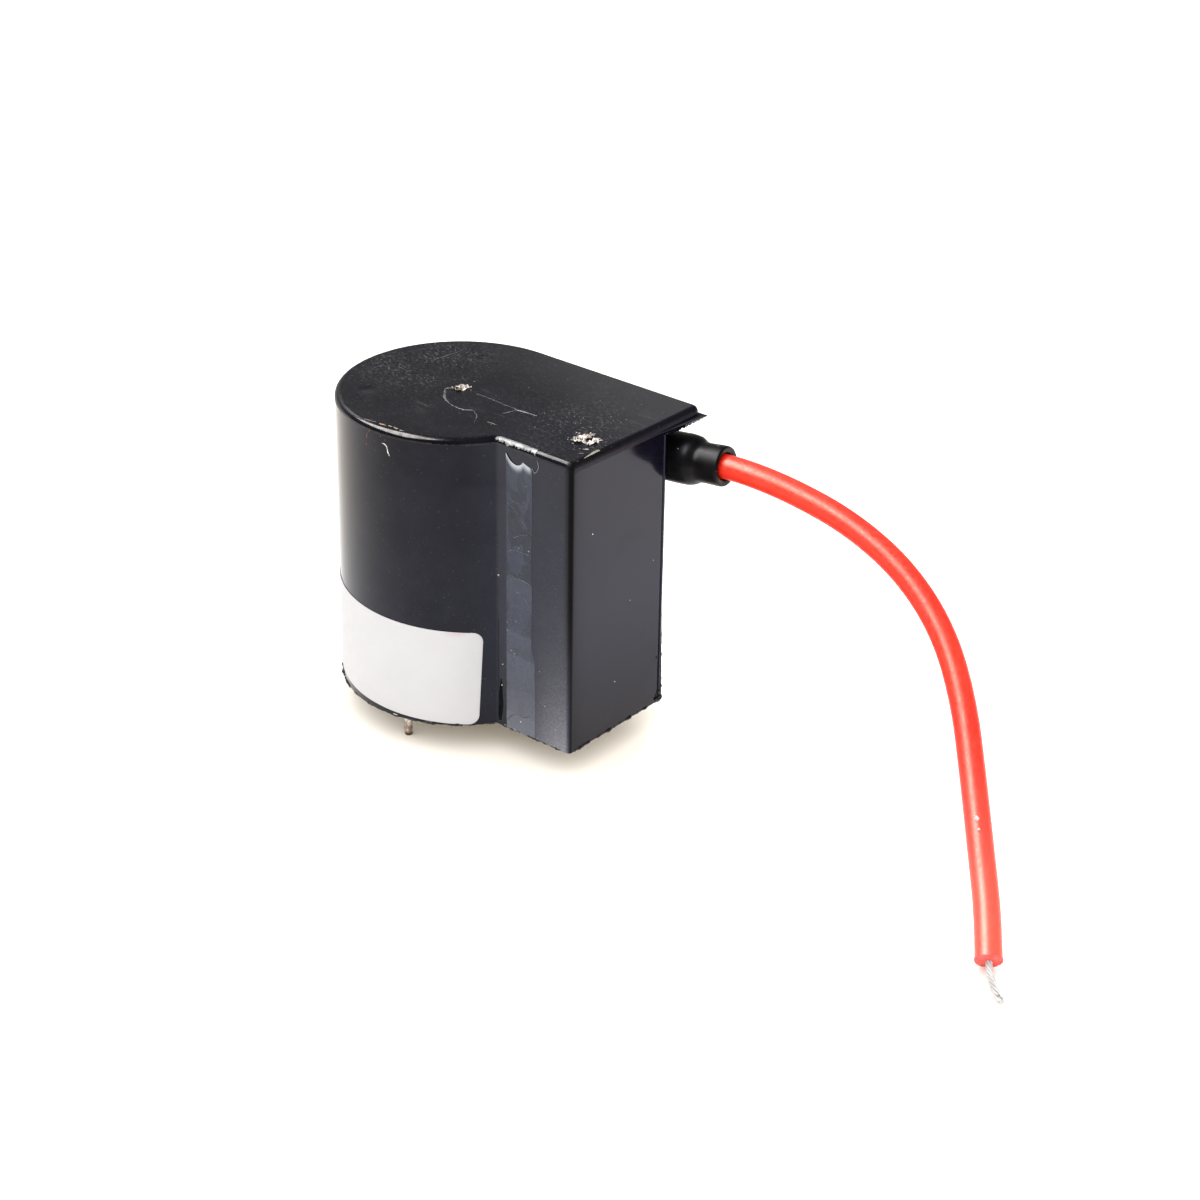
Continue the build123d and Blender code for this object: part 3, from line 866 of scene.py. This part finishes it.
def add_sleeve():
    """Heat-shrink tube with a soft shoulder, not quite round."""
    bpy.ops.mesh.primitive_plane_add(size=1.0)
    sleeve = added("shrink_sleeve")
    edit(sleeve)
    bpy.ops.mesh.delete(type="VERT")
    shape = bmesh.from_edit_mesh(sleeve.data)
    profile = [shape.verts.new((out * MM, 0, along * MM)) for along, out in SLEEVE_PROFILE]
    for pair in zip(profile, profile[1:]):
        shape.edges.new(pair)
    bmesh.update_edit_mesh(sleeve.data)
    bpy.ops.mesh.select_all(action="SELECT")
    bpy.ops.mesh.spin(steps=64, angle=2 * math.pi, center=(0, 0, 0), axis=(0, 0, 1))
    bpy.ops.mesh.select_all(action="SELECT")
    bpy.ops.mesh.remove_doubles(threshold=0.002 * MM)
    bpy.ops.mesh.normals_make_consistent(inside=False)
    bpy.ops.object.mode_set(mode="OBJECT")
    apply(sleeve, "SUBSURF", levels=1, render_levels=1)
    for vertex in sleeve.data.vertices:
        if vertex.co.xy.length > 1.9 * MM:
            wobble = noise.noise(vertex.co / (2.4 * MM)) * 0.06 * MM
            wobble += noise.noise(vertex.co / (0.8 * MM) + Vector((7, 1, 3))) * 0.025 * MM
            vertex.co += Vector((vertex.co.x, vertex.co.y, 0)).normalized() * wobble
    stand(sleeve, at(*OUTLET), OUTLET_AXIS)
    settle(sleeve, "sleeve_plastic", replaces=["heat_shrink_sleeve"])


# ---- Label and tape ----
LABEL_LENGTH, LABEL_HEIGHT, LABEL_ROUND, LABEL_TILT = 30.0, 12.6, 1.3, 2.9
LABEL_HEADING, LABEL_MIDDLE = -96.6, 7.1
LABEL_COLUMNS, LABEL_ROWS = 90, 12


def add_label():
    """A blank sticker, cut with rounded corners and stuck on a little askew."""
    bpy.ops.mesh.primitive_plane_add(size=1.0)
    label = added("blank_sticker")
    edit(label)
    bpy.ops.transform.resize(value=(LABEL_LENGTH, LABEL_HEIGHT, 1.0))
    bpy.ops.mesh.bevel(
        offset=LABEL_ROUND, offset_type="OFFSET", segments=10, profile=0.5, affect="VERTICES"
    )
    cut_evenly(0, LABEL_LENGTH, LABEL_COLUMNS)
    cut_evenly(1, LABEL_HEIGHT, LABEL_ROWS)
    bpy.ops.object.mode_set(mode="OBJECT")
    tilt, middle = math.radians(LABEL_TILT), math.radians(LABEL_HEADING)
    for vertex in label.data.vertices:
        x, y = vertex.co.x, vertex.co.y
        along = x * math.cos(tilt) + y * math.sin(tilt)
        up = y * math.cos(tilt) - x * math.sin(tilt)
        lift = 0.012 + 0.012 * waver(x / 3.0, y / 3.0)
        heading = math.degrees(middle + along / RADIUS)
        vertex.co = on_barrel(heading, LABEL_MIDDLE + up, lift)
    thicken(label, 0.08, offset=1.0)
    apply(label, "BEVEL", width=0.025 * MM, segments=2, limit_method="ANGLE", angle_limit=1.0)
    settle(label, "label_paper", smooth=40, replaces=["blank_label"])


TAPE_LEFT, TAPE_RIGHT, TAPE_STEP, TAPE_HEIGHT = 14.35, 18.28, 0.55, 36.0
TAPE_TOP_EDGE = (  # along the side, height
    (14.3, 36.55), (14.5, 36.45), (14.8, 36.0), (15.3, 35.6), (16.0, 35.42), (16.6, 35.65),
    (16.95, 36.1), (17.2, 35.95), (17.6, 35.8), (18.4, 35.6),
)  # fmt: skip


def tape_right(z):
    """The strip's right edge: it steps out below 12 mm."""
    step = min(1.0, max(0.0, (12.4 - z) / 1.4))
    return TAPE_RIGHT + TAPE_STEP * step + 0.05 * math.sin(z / 2.3)


def add_tape():
    """Clear tape, torn and lifted at its top end."""
    tape, vertices = grid("tape_strip", 26, 220)
    places = []
    for vertex, across, up in vertices:
        z = up * TAPE_HEIGHT
        left = TAPE_LEFT + 0.05 * waver(z / 1.1, 4.0)
        right = tape_right(z) + 0.05 * waver(z / 0.9, 9.0)
        x = left + across * (right - left)
        top_end = height_at(TAPE_TOP_EDGE, x) + 0.04 * waver(x / 0.15)
        z = up * top_end
        wrinkle = waver(x / 1.3, z / 0.9, 2.0)
        ridge = max(0.0, 1.0 - abs(wrinkle) * 9.0)
        inside = min(1.0, 8 * min(across, 1 - across, up, 1 - up))
        lifted = 0.10 * math.exp(-(top_end - z) / 0.35) * (1 - across)
        lift = 0.012 + inside * (0.018 * ridge + 0.010 * (wrinkle + 1)) + lifted
        vertex.co = on_side(x, z, lift)
        places.append((across, top_end - z))
    for loop in tape.data.loops:
        tape.data.uv_layers.active.data[loop.index].uv = places[loop.vertex_index]
    thicken(tape, 0.02)
    settle(tape, "clear_tape", replaces=["clear_tape_strip"])


FILM_START, FILM_LENGTH, FILM_LOW, FILM_TURN = 13.0, 5.7, 4.0, 74.0  # along the edge, degrees


def add_edge_film():
    """The rest of the tape's film, dried on over the rounded edge above the strip."""
    film, vertices = grid("edge_film", 170, 40)
    gone = []
    for vertex, along, up in vertices:
        x, turn = FILM_START + along * FILM_LENGTH, FILM_LOW + up * FILM_TURN
        ragged = waver(x / 0.42, 1.0) + 0.5 * waver(x / 0.15, 6.0)
        low = 30.0 + 18.0 * ragged - 10.0 * math.exp(-(((x - 14.6) / 0.6) ** 2))
        tear = waver(x / 0.3, up * 4.0, 3.0)
        if turn < low or (turn < low + 12.0 and tear > 0.3):
            gone.append(vertex.index)
        crumple = 0.5 + 0.5 * waver(x / 0.5, up * 3.0, 7.0)
        vertex.co = on_side_edge(x, turn, 0.012 + 0.035 * crumple)
    trim(film, gone)
    thicken(film, 0.02)
    settle(film, "clear_tape", "edge_film")


def add_mark(name, finish, points, face, slot="case_plastic", flatten=0.3, seed=0.0):
    """A dried thread, crease or bead: a rumpled rod pressed flat on the face that it lies on.

    Each point is a place on the face and the rod's half width there."""
    path = [place for *place, wide in points]
    mark = rod(name, [face(*place, 0.0) for place in path], [wide for *place, wide in points])
    vertices = mark.data.vertices
    centre = sum((vertex.co for vertex in vertices), Vector()) / len(vertices)
    out = (face(*path[0], 1.0) - face(*path[0], 0.0)).normalized()
    for vertex in vertices:
        vertex.co += noise.noise_vector(vertex.co / (0.35 * MM) + Vector((seed, 0, 0))) * 0.05 * MM
        vertex.co -= out * (vertex.co - centre).dot(out) * (1 - flatten)
    settle(mark, slot, finish)


TAPE_CREASES = (  # along the near side and up it
    ((18.5, 35.4), (18.7, 35.3), (19.0, 35.5), (19.2, 35.9), (19.3, 36.5), (19.1, 37.0)),
    ((18.3, 35.8), (18.5, 35.4), (18.8, 35.2)),
    ((16.5, 34.1), (17.4, 32.5), (17.8, 31.6)),
    ((14.6, 30.2), (15.5, 29.9), (16.3, 29.1), (16.9, 28.4), (17.8, 27.6)),
    ((15.5, 26.0), (16.5, 26.8), (17.8, 27.0)),
    ((14.5, 23.9), (15.5, 24.5), (16.6, 24.4), (17.8, 24.5)),
    ((14.5, 20.2), (14.6, 20.8), (15.1, 21.0), (15.8, 20.7), (16.8, 20.9), (18.0, 20.6)),
    ((16.0, 19.0), (16.8, 19.0), (17.4, 18.5), (17.9, 17.7)),
    ((14.5, 12.8), (15.1, 13.3), (15.5, 13.1), (16.2, 14.0), (16.9, 14.2), (18.0, 13.6)),
    ((14.5, 9.7), (15.2, 9.6), (15.8, 10.5), (16.5, 10.9), (17.4, 10.5), (18.4, 9.7)),
    ((14.5, 6.1), (15.5, 6.4), (16.8, 6.3), (18.4, 6.3)),
    ((14.5, 1.1), (15.2, 2.1), (16.3, 2.6), (17.1, 2.2), (18.4, 3.1)),
)


def add_tape_creases():
    """Fine creases in the tape, and the edge of a bubble in the film beside its top end."""
    for i, path in enumerate(TAPE_CREASES):
        points = [(*place, 0.03 + 0.035 * ((j * 5 + i) % 3) / 2) for j, place in enumerate(path)]
        finish = "milky" if i < 2 else "tape_crease"
        add_mark(f"film_crease_{i}", finish, points, on_tape, "clear_tape", 0.4, i * 4.0)


# ---- Marks on the case ----
TOP_MARKS = (  # name, finish, then points on the top, each with the half width there
    ("thread_start", "straw", (-0.35, -0.55, 0.03), (-0.75, -1.0, 0.1), (-1.05, -1.35, 0.12),
     (-0.95, -1.7, 0.03)),
    ("hooked_thread", "residue", (-0.95, -1.7, 0.025), (-0.35, -2.3, 0.12), (0.2, -3.0, 0.21),
     (0.75, -3.6, 0.16), (1.75, -4.15, 0.06), (2.4, -4.45, 0.025)),
    ("thread_middle", "residue", (2.4, -4.45, 0.025), (3.2, -4.7, 0.055), (3.95, -4.7, 0.05),
     (4.85, -4.65, 0.11), (5.45, -4.15, 0.12), (5.75, -4.05, 0.04)),
    ("thread_tail", "residue", (5.75, -4.05, 0.02), (6.95, -4.75, 0.025), (7.25, -5.1, 0.04),
     (7.6, -5.7, 0.025), (8.2, -6.6, 0.01)),
    ("long_thread", "residue", (2.7, -0.2, 0.02), (3.9, -0.1, 0.035), (5.1, -0.2, 0.03),
     (6.6, -0.3, 0.045), (7.8, -0.4, 0.03), (8.9, -0.42, 0.05)),
    ("thread_end", "residue", (8.9, -0.42, 0.05), (9.5, -0.55, 0.15), (10.0, -0.5, 0.17),
     (10.6, -0.4, 0.11), (11.5, -0.42, 0.05), (12.4, -0.27, 0.08)),
    ("thread_leaf", "residue", (8.95, -2.45, 0.03), (9.1, -1.85, 0.08), (9.35, -1.3, 0.05),
     (9.55, -0.65, 0.13)),
    ("back_scratch", "milky", (-8.1, 3.5, 0.03), (-7.9, 5.2, 0.045), (-7.6, 7.1, 0.03),
     (-7.45, 8.7, 0.02)),
    ("short_dash", "straw", (9.25, -5.4, 0.035), (9.8, -5.35, 0.06), (10.6, -5.35, 0.015)),
    ("straw_chip", "straw", (24.05, -5.7, 0.05), (23.98, -4.9, 0.11), (23.95, -4.1, 0.16),
     (23.85, -3.3, 0.24), (23.95, -2.85, 0.14)),
    ("crumb_hook", "chalk", (22.3, -1.2, 0.06), (22.25, -0.8, 0.1), (22.4, -0.5, 0.08),
     (22.6, -0.6, 0.04)),
    ("crumb_bar", "chalk", (22.4, -3.9, 0.07), (22.6, -3.7, 0.12), (22.85, -3.5, 0.07)),
    ("crumb_low", "residue", (22.8, -5.1, 0.06), (23.0, -4.9, 0.13), (23.15, -4.75, 0.06)),
    ("crumb_near", "residue", (21.9, -4.1, 0.1), (22.1, -3.95, 0.07)),
    ("crumb_brown", "rust", (23.0, -0.75, 0.09), (23.2, -0.6, 0.06)),
    ("crumb_rust", "rust", (23.95, -6.85, 0.1), (24.05, -6.65, 0.1)),
)  # fmt: skip
BARREL_MARKS = (  # the same, with each point as heading and height
    ("lint_curl", "chalk", (-85.0, 36.15, 0.04), (-83.8, 36.15, 0.06), (-82.75, 36.0, 0.05),
     (-82.0, 35.7, 0.06), (-82.0, 35.25, 0.09), (-81.0, 34.8, 0.05)),
    ("rusty_drip_1", "rust", (-92.0, 37.4, 0.05), (-92.6, 37.1, 0.06), (-93.6, 36.8, 0.03)),
    ("rusty_drip_2", "rust", (-93.9, 36.7, 0.03), (-94.5, 36.3, 0.07), (-94.1, 36.1, 0.04)),
    ("rusty_drip_3", "rust", (-94.4, 35.4, 0.06), (-94.5, 35.25, 0.05)),
    ("rusty_drip_4", "rust", (-85.7, 37.2, 0.05), (-85.6, 36.95, 0.04)),
    ("rusty_drip_5", "rust", (-83.7, 36.8, 0.04), (-83.2, 36.6, 0.03)),
    ("rusty_drip_6", "rust", (-97.6, 37.25, 0.03), (-96.6, 37.35, 0.05), (-95.6, 37.35, 0.03)),
)  # fmt: skip
BARREL_EDGE_MARKS = (  # the same, with each point seen from above
    ("brown_trail", "rust", (-2.2, -14.25, 0.07), (-1.7, -14.1, 0.08), (-1.2, -14.15, 0.06),
     (-0.5, -13.95, 0.08)),
    ("gold_scuff_1", "gold", (0.1, -14.0, 0.06), (0.55, -13.95, 0.15), (1.05, -13.9, 0.1)),
    ("gold_scuff_2", "gold", (1.3, -13.8, 0.05), (1.6, -13.65, 0.11), (1.8, -13.75, 0.06)),
    ("gold_scuff_3", "gold", (2.1, -13.75, 0.05), (2.45, -13.75, 0.13), (2.8, -13.7, 0.09)),
    ("gold_scuff_4", "gold", (3.1, -13.8, 0.05), (3.4, -13.75, 0.1), (3.7, -13.75, 0.06)),
)  # fmt: skip
RESIN_RUN = (  # along the near side, height, half width
    (13.45, 6.4, 0.07), (13.5, 5.4, 0.19), (13.4, 4.2, 0.30),
    (13.5, 3.0, 0.31), (13.3, 1.8, 0.37), (13.3, 0.6, 0.20),
)  # fmt: skip


def add_marks(rows, face, flatten, seed_step):
    """The marks of one table, each with its own seed for its roughness."""
    for i, (name, finish, *points) in enumerate(rows):
        add_mark(name, finish, points, face, flatten=flatten, seed=i * seed_step)


def add_resin_run():
    """A run of resin low in the corner between barrel and block, glossy but painted nearly black as the
    corner's shade.
    """
    add_mark("resin_run", "resin_run", RESIN_RUN, on_side, "casting_resin", seed=5.0)


def add_crumpled_film(name, middle, size, grain, height, seed):
    """A scrap of crumpled film on the top, torn along its outline and holed."""
    bpy.ops.mesh.primitive_grid_add(x_subdivisions=110, y_subdivisions=110, size=2.6 * size * MM)
    scrap = added(name)
    gone = []
    for vertex in scrap.data.vertices:
        x, y = vertex.co.x / MM, vertex.co.y / MM

        def rough(shift, spread):
            return noise.noise(Vector((x, y, seed + shift)) / (spread * grain))

        tear = rough(0.0, 1.0) + 0.6 * rough(5.0, 0.4)
        if 0.62 + 0.9 * tear < (math.hypot(x, y) / size) ** 2:
            gone.append(vertex.index)
        rise = height * (1.0 - abs(rough(9.0, 0.8)) * 2.2) + 0.25 * height * rough(2.0, 0.25)
        vertex.co = on_top(middle[0] + x, middle[1] + y, 0.015 + max(0.0, rise))
    trim(scrap, gone)
    thicken(scrap, 0.03)
    settle(scrap, "case_plastic", "chalk", smooth=40)


TOP_CRUMBS = (  # place on the top, size
    (20.5, -3.5, 0.13), (8.1, 10.3, 0.07), (-4.9, 4.8, 0.06), (6.3, 5.3, 0.06), (19.1, 5.15, 0.08),
    (19.3, 6.3, 0.07), (20.9, 5.75, 0.1), (20.2, 3.8, 0.07), (19.5, 10.3, 0.06), (10.0, -5.7, 0.06),
    (20.0, 4.5, 0.06), (21.0, 4.7, 0.08), (19.1, -2.6, 0.08), (21.6, -4.6, 0.07), (12.6, 0.8, 0.07),
    (11.9, 4.6, 0.05), (15.2, 7.9, 0.05), (3.2, 6.7, 0.05), (17.2, 1.4, 0.05), (14.3, -2.9, 0.05),
)  # fmt: skip
SIDE_SPECKS = (  # place on the near side, size
    (13.15, 20.3, 0.13), (14.5, 14.5, 0.07), (14.5, 13.4, 0.07), (15.67, 10.6, 0.10), (13.6, 5.6, 0.08),
    (16.6, 1.6, 0.09), (17.8, 25.0, 0.09), (13.75, 8.5, 0.06), (13.5, 3.4, 0.05), (16.3, 24.9, 0.05),
    (14.6, 15.5, 0.06), (20.4, 5.2, 0.05), (19.5, 9.6, 0.05), (22.1, 2.6, 0.06),
)  # fmt: skip
END_SPECKS = ((-4.2, 27.9, 0.09), (0.4, 6.4, 0.06), (7.3, 20.1, 0.06), (3.0, 16.4, 0.05))


def specks_on(face, rows, lift=0.0, scale=1.0):
    """Tiny rumpled lumps stuck to a face."""
    specks = []
    for first, second, size in rows:
        size *= scale
        place = face(first, second, lift)
        specks.append(lump("speck", place, size, 0.6 * size, 0.7 * size, first + second))
    return specks


def add_top_crumbs():
    crumbs = specks_on(on_top, TOP_CRUMBS, scale=0.75)
    settle(joined("top_crumbs", crumbs), "case_plastic", "straw")


def add_side_specks():
    """Pale specks on the near side and the end face."""
    specks = specks_on(on_side, SIDE_SPECKS, lift=0.02) + specks_on(on_end, END_SPECKS, lift=0.02)
    settle(joined("side_specks", specks), "case_plastic", "chalk")


# ---- Rim and corner ----
def rim_outline():
    """Points along the wall's underside, round the barrel and the block."""
    wall = RADIUS - 0.5  # out to the wall's middle
    start = math.degrees(math.atan2(SIDE, math.sqrt(RADIUS**2 - SIDE**2))) - 1.0
    points = []
    while start - 2.0 * len(points) > -268.0:
        points.append(round_axis(start - 2.0 * len(points), wall))
    points += [(float(x), wall) for x in range(18)]
    points += [(18.3, 14.4), (18.3, 12.0), (18.4, 9.0), (20.5, 9.0), (23.5, 9.0)]
    points += [(23.7, float(y)) for y in range(8, -8, -1)]
    points += [(23.6, -7.6)]
    points += [(float(x), -7.55) for x in range(23, 12, -1)]
    return points


def add_rim():
    """Casting resin that has crept over the wall's edge in rough beads."""
    outline = rim_outline()
    radii, points = [], []
    for first, second in zip(outline, outline[1:]):
        for share in (0.0, 0.25, 0.5, 0.75):
            x, y = (a + (b - a) * share for a, b in zip(first, second))
            rough = waver(x / 0.9, y / 0.9) + 0.6 * waver(x / 0.3, y / 0.3, 3.0)
            radii.append(0.42 + 0.20 * rough)
            left = max(0.0, min(1.0, (-x - 4.0) / 7.0)) if y < 8.0 else 0.0
            push = 0.10 + 0.26 * left + 0.10 * waver(x / 1.4, y / 1.4, 8.0)
            points.append(at(x * (1 + push / RADIUS), y * (1 + push / RADIUS), 0.05))
    rim = rod("rim_resin", points, radii, kind="POLY")
    middle = points[0].z
    for vertex in rim.data.vertices:
        vertex.co.z = middle + (vertex.co.z - middle) * 0.6
        vertex.co += noise.noise_vector(vertex.co / (0.4 * MM)) * 0.07 * MM
    settle(rim, "casting_resin")


CORNER_LUMPS = (  # place, size
    ((23.95, 8.9, 0.5), 0.62), ((24.05, 9.1, 1.2), 0.4), ((24.1, 9.15, 2.4), 0.22),
    ((24.1, 9.2, 3.1), 0.17), ((24.15, 8.5, 6.3), 0.16), ((24.1, 9.2, 7.0), 0.2),
)  # fmt: skip


FLASH_TOP = 36.6  # of the flash up the block's far edge


def add_corner_flash():
    """Ragged flash and a bead down the block's far upright edge, and resin at its foot."""
    fin, vertices = grid("upright_flash", 4, 260)
    for vertex, across, up in vertices:
        z = up * FLASH_TOP
        low = max(0.0, 1 - z / 13.0)
        reach = 0.10 + low * (0.22 + 0.35 * max(0.0, waver(z / 0.55))) + 0.03 * waver(z / 2.0, 5.0)
        vertex.co = at(24.05 + across * reach * 0.4, 9.05 + across * (0.2 + reach), z)
    thicken(fin, 0.12)
    settle(fin, "case_plastic")
    line = [at(24.14, 8.99, i * 0.9) for i in range(41)]
    radii = [0.18 + 0.04 * waver(i * 0.7, 3.0) for i in range(41)]
    settle(rod("upright_bead", line, radii), "case_plastic")
    for i, (place, size) in enumerate(CORNER_LUMPS):
        blob = lump(f"resin_lump_{i}", at(*place), size, 0.5 * size, 0.5 * size, i + 1.0, fineness=4)
        settle(blob, "casting_resin")


LIP_FLASH = (  # along the end face, depth below the plate's underside
    (8.4, 0.12), (8.9, 0.42), (9.6, 0.62), (10.6, 0.60), (12.0, 0.50), (13.4, 0.42), (14.5, 0.30),
    (15.3, 0.12),
)  # fmt: skip


def add_lip_flash():
    """Ragged flash hanging under the lip's far corner."""
    flash_start, flash_end = LIP_FLASH[0][0], LIP_FLASH[-1][0]
    strip, vertices = grid("lip_flash", 110, 10)
    for vertex, along, up in vertices:
        y, down = flash_start + along * (flash_end - flash_start), 1 - up
        ragged = 0.16 * waver(y / 0.35, 2.0) + 0.10 * waver(y / 0.12, 5.0)
        depth = down * max(0.05, height_at(LIP_FLASH, y) + ragged)
        reach = 1.3 * (y - 3.0) / 12.0
        wave = 0.07 * waver(y / 0.5, down * 1.5, 8.0)
        vertex.co = at(24.12 + reach - 0.25 * down + wave, y, 36.72 - depth)
    thicken(strip, 0.22)
    settle(strip, "case_plastic", smooth=50)


# ---- Pins and underside ----
PIN_HEADINGS = (0, 80, 160, 200, 280)
PIN_CIRCLE, PIN_THICK, PIN_LENGTH = 12.65, 0.48, 4.4  # the first two are radii


def add_pins():
    """Solder-dipped pins, each a little thicker where the solder has run."""
    bpy.ops.mesh.primitive_cylinder_add(vertices=32, radius=PIN_THICK * MM, depth=PIN_LENGTH * MM)
    plain = added("pin")
    edit(plain)
    cut_evenly(2, PIN_LENGTH * MM, 22)
    apply(plain, "BEVEL", width=0.14 * MM, segments=4, limit_method="ANGLE", angle_limit=0.9)
    for i, heading in enumerate(PIN_HEADINGS):
        only(plain)
        bpy.ops.object.duplicate(linked=False)
        pin = added(f"pin_{i + 1}")
        for vertex in pin.data.vertices:
            run = noise.noise(vertex.co / (0.7 * MM) + Vector((i * 5.0, 0, 0)))
            vertex.co += Vector((vertex.co.x, vertex.co.y, 0)) * 0.07 * run
        pin.location = at(*round_axis(heading, PIN_CIRCLE), FLOOR + PIN_LENGTH / 2)
        settle(pin, "tinned_pin", smooth=50)
    bpy.data.objects.remove(plain)


def add_underside():
    """The casting resin's cured face: wavy, and drawn up round the pins and the walls."""
    face, vertices = grid("resin_face", 150, 110)
    pins = [round_axis(heading, PIN_CIRCLE) for heading in PIN_HEADINGS]
    outside = []
    for vertex, across, up in vertices:
        x, y = 4.6 + (across - 0.5) * 38.6, (up - 0.5) * 30.0
        radial = math.hypot(x, y)
        wall = 14.25 - radial if x < 0 or y < SIDE else min(23.4 - x, y + 7.25, 14.25 - y)
        wave = 0.07 * waver(x / 4.0, y / 4.0) + 0.03 * waver(x, y, 6.0)
        climb = 0.22 * math.exp(-max(0.0, wall) / 0.7)
        for pin_x, pin_y in pins:
            gap = max(0.0, math.hypot(x - pin_x, y - pin_y) - 0.5)
            climb += 0.28 * math.exp(-gap / 0.45)
        vertex.co = at(x, y, 0.24 - wave - climb)
        in_block = 0 <= x < 23.4 and -7.2 < y < 14.2 and not (x > 17.8 and y > 8.3)
        if not (radial < 14.2 or in_block):
            outside.append(vertex.index)
    trim(face, outside)
    thicken(face, 0.1, offset=1.0)
    settle(face, "casting_resin")


# ---- Studio ----
PART_MIDDLE = Vector((0.02, 0.0, 0.03))
LIGHTS = (  # name, place from the part's middle, size, power, the rays that don't see it
    ("softbox", (-0.40, -0.38, 0.83), (1.15, 0.60), 46.0, "visible_diffuse"),
    ("low_softbox", (-0.80, 0.20, 0.56), (0.30, 0.26), 1.0, "visible_diffuse"),
    ("back_light", (-0.7, 0.85, 0.95), (0.9, 0.9), 8.0, "visible_glossy"),
)
ROOM_LIGHT, BACKDROP_GLOW, BACKDROP_DARK = 2.0, 0.26, 0.02


def add_light(name, place, size, power, unseen_by):
    """A rectangular light that points at the part's middle."""
    data = bpy.data.lights.new(name, "AREA")
    data.shape = "RECTANGLE"
    data.size, data.size_y = size
    data.energy = power
    light = bpy.data.objects.new(name, data)
    light.location = PART_MIDDLE + Vector(place)
    light.rotation_euler = (-Vector(place)).to_track_quat("-Z", "Y").to_euler()
    setattr(light, unseen_by, False)
    bpy.context.scene.collection.objects.link(light)


def add_surround():
    """An even pale surround that lights the room, but shows darker in glossy surfaces."""
    world = bpy.data.worlds.new("surround")
    bpy.context.scene.world = world
    world.use_nodes = True
    s = Shading(world.node_tree)
    x, y, z = s.split(s.node("ShaderNodeTexCoord").outputs["Generated"])
    behind = s.between(y, -0.1, 0.5, BACKDROP_DARK, BACKDROP_GLOW)
    low = s.between(z, 0.62, 0.50, BACKDROP_DARK / BACKDROP_GLOW, 1.0)
    seen = s.times(behind, low, s.between(x, 0.35, -0.15, 0.25, 1.0))
    glossy = s.node("ShaderNodeLightPath").outputs["Is Glossy Ray"]
    lit = s.filled("ShaderNodeMix", {"Factor": glossy, "A": ROOM_LIGHT, "B": seen}, data_type="FLOAT")
    background = world.node_tree.nodes["Background"]
    s.join(background.inputs["Color"], (1.0, 0.99, 0.985))
    s.join(background.inputs["Strength"], lit.outputs["Result"])


def add_studio():
    bpy.ops.mesh.primitive_plane_add(size=6.0, location=(0, 0, 0))
    floor = added("pale_floor")
    floor.data.materials.append(floor_finish())
    for light in LIGHTS:
        add_light(*light)
    add_surround()
    bpy.context.scene.view_settings.view_transform = "Standard"


def dress_cad():
    """Every CAD node that still shows, or could, gets its finish."""
    slots = {part["node"]: part["material_slot"] for part in frame["record"]["subparts"]}
    for name, shape in frame["nodes"].items():
        shape.data.materials.clear()
        shape.data.materials.append(FINISHES[slots[name]])


# ---- Making ----
deselect()
add_camera()
make_finishes()
lead = add_lead()
strands = add_strands()
cut_end = add_cut_end()
lead_specks = add_lead_specks()
add_sleeve()
dress_cad()
add_label()
add_tape()
add_edge_film()
add_tape_creases()
add_marks(TOP_MARKS, on_top, flatten=0.3, seed_step=2.0)
add_crumpled_film("knot_of_film", (0.5, -0.1), 1.15, grain=0.55, height=0.22, seed=3.0)
add_crumpled_film("corner_film", (21.0, -1.85), 1.75, grain=0.9, height=0.34, seed=8.0)
add_top_crumbs()
add_marks(BARREL_MARKS, on_barrel, flatten=0.5, seed_step=3.0)
add_marks(BARREL_EDGE_MARKS, on_barrel_edge, flatten=0.5, seed_step=3.0)
add_rim()
add_corner_flash()
add_lip_flash()
add_side_specks()
add_resin_run()
add_pins()
add_underside()
add_studio()
